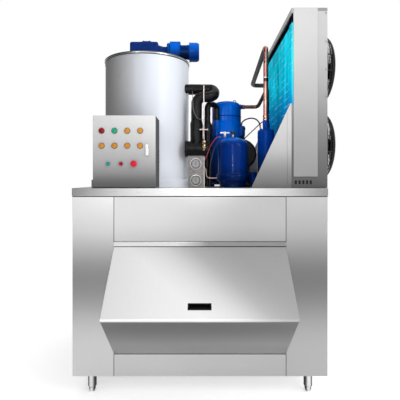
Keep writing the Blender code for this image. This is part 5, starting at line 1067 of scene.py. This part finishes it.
liquid_line = wrinkled(pipe_run(mm((47, 430, 235), (47, 430, 0)), 0.0195, 0.01, 6, 0.01), 0.001)
add_piece("liquid_line", liquid_line, exchanger_foam, "machine", (), 60)

# Expansion valve: a brass body on the exchanger's port, and its stop valve on a pale tube up to the
# suction line. Thin sensing and gauge tubes run between the valves, the gauges and the pipes.
VALVE = (0.0229, 0.2775)
CROSS_HEIGHT = 0.378
CROSS_REACH = 0.025
brass = Finish("brass_and_tube", (0.62, 0.42, 0.14), 0.25, 1)
valve_height = brass.axes(spot(0, 0))[2]
above = valve_height.between(0.316, 0.318)
brass_cast = brass.ramp(brass.noise(90, detail=2), [
    (0.38, (0.07, 0.05, 0.03)), (0.5, (0.34, 0.25, 0.13)), (0.66, (0.66, 0.56, 0.38)),
])
brass.paint(brass.mix(above, brass_cast, (0.72, 0.58, 0.55)))
brass.feed("Metallic", above * -0.8 + 1)
brass.bump(brass.noise(300, detail=2), 0.0002)
valve = spun(mm(
    (0, 240), (11, 240), (11, 252), (15.5, 254), (15.5, 268), (12.5, 271), (12.5, 284), (14.8, 286),
    (14.8, 302), (8, 305), (6, 318), (0, 318),
), spot(*VALVE), 2, 8, 0.001, 1)
round_bar(valve, 0.0095, spot_by(VALVE, 0, 0, 0.262), (0, 0.016, 0), 6, 0.001)
join(valve, pipe_run([
    (VALVE[0], VALVE[1], 0.31), (VALVE[0], VALVE[1], 0.672), (VALVE[0], 0.406, 0.672),
], 0.0034, 0.016, 4))
round_bar(valve, 0.0036, spot_by(VALVE, -CROSS_REACH, 0, CROSS_HEIGHT), (2 * CROSS_REACH, 0, 0), 12, 0.001)
round_bar(valve, 0.0036, spot_by(VALVE, 0, -0.018, CROSS_HEIGHT), (0, 0.036, 0), 12, 0.001)
for across in (-CROSS_REACH, CROSS_REACH):
    round_bar(valve, 0.0052, spot_by(VALVE, across - 0.003, 0, CROSS_HEIGHT), (0.006, 0, 0), 12, 0.0015)
stand_for("expansion_valve", valve, brass, 30)


def line_finish(name, colour, metallic=0):
    """Thin drawn tube: its tone and its gloss vary a little along it."""
    finish = Finish(name, colour, 0.35, metallic)
    patch = finish.noise(45, detail=3)
    finish.paint(finish.shade(colour, patch.spread(0.75, 1.1)))
    finish.feed("Roughness", patch.spread(0.26, 0.42))
    return finish


red_line = line_finish("red_line", (0.38, 0.022, 0.07))
grey_line = line_finish("grey_line", 120, 0.7)
pink_line = line_finish("pink_line", (0.62, 0.42, 0.38), 0.3)
dark_line = line_finish("dark_line", 16)
gauge_route = mm(
    (135.2, 220, 324.5), (108, 216, 324.5), (62, 180, 262), (36, 150, 180), (12, 116, 144.6),
    (-25.5, 104, 144.6), (-25.5, 88.4, 144.6),
)
stand_for("capillary_tube", pipe_run(gauge_route, 0.0019, 0.05, 4), red_line, 60)
for name, route, radius, finish in (
    ("sensing_tube", mm(
        (-52, 318, 640), (-52, 292, 600), (-46, 290, 500), (-20, 285, 452), (22.9, 277.5, 440),
    ), 0.0016, grey_line),
    ("low_gauge_tube", mm(
        (-25.5, 88.4, 45.7), (-25.5, 110, 45.7), (12, 130, 110), (34, 150, 125), (40, 165, 62),
        (75, 180, 58), (108.5, 192, 60),
    ), 0.0026, pink_line),
    ("valve_tube", mm(
        (150, 222, 302), (120, 222, 300), (85, 205, 240), (62, 190, 140), (58, 190, 0),
    ), 0.003, dark_line),
    ("equalising_tube", mm(
        (300, 395, 316), (306, 393, 334), (410, 356, 432), (422.5, 352, 440),
    ), 0.0036, dark_line),
):
    add_piece(name, pipe_run(route, radius, 0.03, 4), finish, "machine", (), 60)

# Copper work: the riser from the oil separator to the condenser, its rear leg sleeved in dark foam, the
# compressor's discharge pipe and the thin oil return, brazed into sockets
copper = Finish("riser_copper", (0.8, 0.42, 0.3), 0.26, 1)
_, riser_y, riser_z = copper.axes(spot(0, 0))
tarnish = copper.noise(30, (1, 1, 0.3), 3)
bare = copper.mix(tarnish.between(0.35, 0.7), (0.66, 0.31, 0.25), (0.42, 0.17, 0.14))
banded = copper.mix(abs(riser_z - 0.722) < 0.012, bare, (0.05, 0.035, 0.03))
banded = copper.mix(abs(riser_z - 0.737) < 0.003, banded, (0.85, 0.75, 0.7))
sleeved = riser_y.between(0.385, 0.39)
copper.paint(copper.mix(sleeved, banded, 48))
copper.feed("Metallic", 1 - sleeved)
copper.feed("Roughness", sleeved * 0.3 + tarnish.spread(0.2, 0.36))
riser = pipe_run(mm(
    (443, 350, 448.4), (443, 350, 951), (427, 958, 828), (544.6, 958, 828),
), 0.0172, 0.045, 8)
for z in (0.4484, 0.47):
    join(riser, spun([
        (0, z), (0.0205, z), (0.0205, z + 0.012), (0.0172, z + 0.016), (0, z + 0.016),
    ], spot(*OIL_SEPARATOR), 2, 32))
stand_for("riser_pipe", riser, copper, 50)

hot_copper = mottled("discharge_copper", [
    (0.3, (0.018, 0.014, 0.014)), (0.5, (0.1, 0.055, 0.05)), (0.75, (0.42, 0.26, 0.24)),
], (0.24, 0.45), 34, 0.9)
hot = pipe_run(mm((311.3, 600, 585), (423, 600, 585), (459, 386, 675), (459, 386, 405.3)), 0.0133, 0.03, 8)
round_bar(hot, 0.0165, spot(0.3113, 0.6, PORT_HEIGHT), (0.0147, 0, 0), 6, 0.0015)
stand_for("discharge_pipe", hot, hot_copper, 50)
oil_route = mm(
    (295, 505, 430.3), (295, 505, 456), (316, 476, 473), (352, 427.5, 478), (386, 385, 462),
    (404, 352, 425), (404.5, 350, 393.8),
)
stand_for("oil_return_tube", pipe_run(oil_route, 0.0048, 0.05, 5), hot_copper, 60)
nut_brass = mottled("nut_brass", [(0.3, (0.5, 0.32, 0.1)), (0.7, (0.72, 0.5, 0.2))], 0.28, 120, 1)
nuts = bmesh.new()
round_bar(nuts, 0.0195, spot(*HOT_INLET, 0.4056), (0, 0, 0.0224), 6, 0.001)
round_bar(nuts, 0.016, spot(*HOT_INLET, 0.428), (0, 0, 0.016), 24, 0.002)
round_bar(nuts, 0.0085, spot(0.4045, 0.35, 0.394), (0, 0, 0.01), 6, 0.0008)
add_piece("flare_nuts", nuts, nut_brass, "machine")

# Condenser: an upright case of folded, enamelled sheet, screwed together, with a cover over the return
# bends at its front end and tube holes below it. Painted shade makes its sheet pale at the top and grey
# near the deck.
CONDENSER_LEFT = 0.545
CONDENSER_RIGHT = 0.75
CONDENSER_FRONT = 0.03
CONDENSER_BACK = 0.98
CONDENSER_TOP = 1.073
SCREW_RADIUS = 0.0042
CASE_PROUD = 0.0095


def sheet_enamel(name, bands, with_painted_shadow=False):
    """Satin enamel on sheet, with painted shade: its tone drops from the top to the deck; on the case, a
    painted shadow blackens the left faces by the coil and painted shade darkens the top of the front strip.
    """
    finish = Finish(name, 220, 0.45, specular=0.02)
    beside, deep, height = finish.axes(spot(0, 0))
    # Painted shade: the tone drops from the top to the deck
    painted_falloff = finish.ramp(height / CONDENSER_TOP, bands, "B_SPLINE")
    cloud = finish.noise(6, detail=1)
    colour = finish.shade(painted_falloff, cloud.spread(0.98, 1.01))
    if with_painted_shadow:
        # Painted shadow: the case's left faces by the coil turn black, seen as a dark band under the top
        # flange
        strip = (
            beside < CONDENSER_LEFT + 0.0012
        ) * (height < CONDENSER_TOP - 0.036) * (deep > CONDENSER_FRONT + 0.003)
        colour = finish.mix(strip, colour, 9)
        # Painted shade along the top of the case's front strip
        fold_shade = (height > CONDENSER_TOP - 0.02) * (beside > 0.7) * (deep < CONDENSER_FRONT + 0.002)
        colour = finish.shade(colour, 1 - fold_shade * 0.45)
    finish.paint(colour)
    finish.feed("Roughness", cloud.spread(0.4, 0.52))
    finish.bump(finish.noise(700, detail=1), 0.00003)
    return finish


case_enamel = sheet_enamel("case_enamel", [
    (0, 86), (0.1, 98), (0.27, 113), (0.49, 145), (0.71, 175), (1, 188),
], True)
case_sheet = folded_copy("condenser_case", 0.0015)
outer = [v for v in case_sheet.verts if v.co.x > spot(CONDENSER_RIGHT - 0.0035, 0).x]
bmesh.ops.translate(case_sheet, vec=(CASE_PROUD, 0, 0), verts=outer)
stand_for("condenser_case", case_sheet, case_enamel)
cover_enamel = sheet_enamel("cover_enamel", [
    (0, 138), (0.1, 144), (0.27, 153), (0.49, 168), (0.71, 184), (1, 196),
])
show_folded("condenser_end_cover", cover_enamel, 0.0015)
screw_steel = mottled("screw_steel", [(0.3, 80), (0.7, 150)], 0.35, 200, 1)
screws = bmesh.new()
for z in (0.06, 0.215, 0.38, 0.544, 0.706, 0.872, 1.041):
    round_bar(screws, SCREW_RADIUS, spot(0.749, 0.0302, z), (0, -0.0027, 0), 12, 0.001)
for z in (0.3, 0.7, 1):
    for y in (0.06, 0.95):
        round_bar(screws, SCREW_RADIUS, spot(CONDENSER_RIGHT + 0.009, y, z), (0.003, 0, 0), 12, 0.001)
add_piece("case_screws", screws, screw_steel, "machine")
# A black plate behind the tube holes: painted shade that makes the holes read dark
backing = bmesh.new()
block(backing, spot(0.553, 0.0342, 0.006), spot(0.7455, 0.0352, 0.064))
add_piece("hole_shade_backing", backing, painted_shade_black, "machine")

# Coil: rows of copper tubes through a close pack of thin fins with a blue-green water-shedding coat.
# Painted shade deepens the coat towards the deck, a painted shadow blackens it under the case's top
# flange, and pale painted highlights streak along the tube rows.
FIN_PITCH = 0.0062
COIL_LEFT = 0.5496
COIL_RIGHT = 0.649
TUBE_PITCH = 0.046
TUBE_RADIUS = 0.0048
TUBE_LAYERS = 4
TUBE_LEVELS = 22
fin_coat = Finish("fin_coat", (0.02, 0.6, 0.8), 0.4, specular=0)
_, _, fin_z = fin_coat.axes(spot(0, 0))
# Painted shade and shadow: deep blue near the deck, cyan higher up, black under the top flange
fin_coat_and_shade = fin_coat.ramp(fin_z / CONDENSER_TOP, [
    (0, (0, 0.055, 0.2)), (0.3, (0.002, 0.11, 0.38)), (0.48, (0.004, 0.38, 0.8)),
    (0.62, (0.008, 0.74, 0.98)), (0.84, (0.012, 0.82, 1)), (0.912, (0.03, 0.74, 0.94)),
    (0.922, (0.002, 0.004, 0.006)), (1, (0.002, 0.003, 0.004)),
])
row = fin_coat.node(
    "ShaderNodeMath", {"operation": "FRACT"},
    {0: fin_z / TUBE_PITCH + fin_coat.noise(9, (0, 1, 0.1), 2) * 0.5},
)
# Painted highlights: pale streaks along the tube rows
streak = (abs(row - 0.5) < 0.09) * fin_coat.noise(22, (1, 0.35, 1), 3).between(0.42, 0.62) * (fin_z < 0.98)
shimmer = fin_coat.noise(14, (1, 1, 0.25), 4).spread(0.72, 1.2)
fin_coat.paint(fin_coat.mix(streak * 0.4, fin_coat.shade(fin_coat_and_shade, shimmer), (0.45, 0.85, 0.95)))
coil = bmesh.new()
for fin in range(int((CONDENSER_BACK - CONDENSER_FRONT - 0.04) / FIN_PITCH)):
    y = CONDENSER_FRONT + 0.0125 + FIN_PITCH * fin
    block(coil, spot(COIL_LEFT, y, 0.0048), spot(COIL_RIGHT, y + 0.0012, CONDENSER_TOP - 0.0048))
block(
    coil, spot(CONDENSER_LEFT - 0.0004, CONDENSER_FRONT - 0.0006, 0.5),
    spot(0.5546, CONDENSER_FRONT + 0.0004, 1.04),
)
for fin in range(18):
    y = CONDENSER_FRONT + 0.004 + FIN_PITCH / 2 * fin
    block(coil, spot(CONDENSER_LEFT - 0.0004, y, 0.046), spot(CONDENSER_LEFT + 0.0002, y + 0.0022, 1.026))
tube = (0, CONDENSER_BACK - CONDENSER_FRONT - 0.038, 0)
for layer in range(TUBE_LAYERS):
    for level in range(TUBE_LEVELS):
        z = 0.04 + TUBE_PITCH * (level + layer % 2 / 2)
        x = COIL_LEFT + 0.0125 + 0.025 * layer
        round_bar(coil, TUBE_RADIUS, spot(x, CONDENSER_FRONT + 0.006, z), tube, 8)
stand_for("condenser_coil", coil, fin_coat)

# Gussets: three-cornered braces of the same sheet between the deck and the case, with a riveted flange
# Painted shade: the gussets darken towards the deck
gusset_enamel = sheet_enamel("gusset_enamel", [
    (0, 108), (0.05, 116), (0.13, 140), (0.22, 176), (0.34, 186), (1, 196),
])
for place, face in (("front", CONDENSER_FRONT), ("rear", CONDENSER_BACK)):
    outward = -1 if place == "front" else 1
    brace = folded_copy(f"gusset_{place}", 0.0006, 1)
    near, far = sorted((face + outward * 0.0002, face + outward * 0.0022))
    for x in (CONDENSER_LEFT - 0.0249, CONDENSER_LEFT - 0.0012):
        block(brace, spot(x, near, 0.022), spot(x + 0.0008, far, 0.448))
    block(
        brace, spot(CONDENSER_LEFT - 0.0245, near, 0.022), spot(CONDENSER_LEFT - 0.0008, far, 0.448),
        0.0007,
    )
    for z in (0.06, 0.17, 0.285, 0.395):
        round_bar(
            brace, 0.0036, spot(CONDENSER_LEFT - 0.011, face + outward * 0.002, z),
            (0, outward * 0.0025, 0), 12, 0.001,
        )
    stand_for(f"gusset_{place}", brace, gusset_enamel)

# Condenser fans: a black steel shroud, a domed guard of welded rings and spokes that carries the motor
# in its middle, and a five-bladed moulded rotor
FAN_Y = 0.505
FAN_HEIGHTS = (("lower", 0.285), ("upper", 0.822))
GUARD_EDGE = 0.236
GUARD_DEPTH = 0.1
GUARD_REACH = 0.168
GUARD_RINGS = 20
GUARD_SPOKES = 14
GUARD_WIRE = 0.0026
SHROUD_DEPTH = 0.0605
BLADES = 5
BLADE_ROOT = 0.034
BLADE_LENGTH = 0.155

guard_black = mottled("guard_black", [(0.3, 8), (0.6, 20), (0.8, 40)], (0.3, 0.5), 60, specular=0.4)
rotor_black = mottled("rotor_black", [(0.3, 16), (0.7, 36)], 0.35, 20)


def guard_height(share):
    """How far the guard stands off the case at a share of its radius."""
    return GUARD_DEPTH + (GUARD_REACH - GUARD_DEPTH) * (1 - share**3.6) ** 0.5


for level, height in FAN_HEIGHTS:
    hub = spot(CONDENSER_RIGHT, FAN_Y, height)
    ring_profile = [
        (0.221, 0.0006), (0.244, 0.0006), (0.244, 0.0035), (0.234, 0.0055), (0.234, 0.055),
        (0.239, SHROUD_DEPTH), (0.221, SHROUD_DEPTH),
    ]
    guard = spun(ring_profile, hub, 0, 72)
    hoops = [0.24 + 0.755 * (ring / GUARD_RINGS) ** 0.9 for ring in range(GUARD_RINGS + 1)]
    places = [(share, guard_height(share)) for share in hoops] + mm((1000, 74), (1000, 87))
    for share, off in places:
        hoop = bmesh.new()
        bmesh.ops.create_circle(
            hoop, radius=GUARD_WIRE, segments=6, matrix=Matrix.Rotation(math.pi / 2, 4, "X"),
        )
        shift(hoop, (off, 0, GUARD_EDGE * share))
        whirl(hoop, (1, 0, 0), 56)
        shift(hoop, hub)
        join(guard, hoop)
    for spoke in range(GUARD_SPOKES):
        angle = 2 * math.pi * spoke / GUARD_SPOKES
        shares = [0.22, 0.45, 0.65, 0.8, 0.9, 0.96, 0.995]
        line = [
            (
                CONDENSER_RIGHT + guard_height(share) - GUARD_WIRE * 1.5,
                FAN_Y + GUARD_EDGE * share * math.sin(angle), height + GUARD_EDGE * share * math.cos(angle),
            )
            for share in shares
        ]
        line.append((CONDENSER_RIGHT + SHROUD_DEPTH - 0.004, *line[-1][1:]))
        join(guard, pipe_run(line, GUARD_WIRE * 1.2, 0.01, 2))
    motor_can = mm(
        (7.5, 110), (42, 110), (47, 114), (47, 155), (54, 158), (54, 166), (40, 168.5), (14, 171),
        (13, 196), (11, 199.5), (0, 199.8), (0, 142), (7.5, 142),
    )
    join(guard, spun(motor_can, hub, 0, 40))
    stand_for(f"fan_guard_{level}", guard, guard_black, 40)

    rotor = spun(mm(
        (0, 12.2), (30, 12.2), (36, 14.5), (40, 46), (38, 47.8), (6.5, 48), (6.5, 132.4), (0, 132.4),
    ), (0, 0, 0), 0, 40)
    for number in range(BLADES):
        blade = bmesh.new()
        bmesh.ops.create_grid(blade, x_segments=8, y_segments=10, size=0.5)
        for vert in blade.verts:
            across, out = vert.co.x, vert.co.y + 0.5
            radius = BLADE_ROOT + BLADE_LENGTH * out
            sweep = 1.35 * across + 0.45 * out**2 - 0.1
            width = 0.75 + 0.25 * math.sin(math.pi * min(out * 0.9 + 0.1, 1))
            angle = sweep * width
            pitch = 0.03 - (0.03 - 0.006 * out) * across * 1.2 + 0.004 * math.sin(math.pi * (across + 0.5))
            vert.co = (pitch, radius * math.sin(angle), radius * math.cos(angle))
        bmesh.ops.recalc_face_normals(blade, faces=blade.faces)
        bmesh.ops.solidify(blade, geom=blade.faces[:], thickness=0.002)
        bmesh.ops.rotate(
            blade, cent=(0, 0, 0), matrix=Matrix.Rotation(2 * math.pi * number / BLADES, 3, "X"),
            verts=blade.verts,
        )
        join(rotor, blade)
    shift(rotor, hub)
    stand_for(f"fan_{level}", rotor, rotor_black, 40)
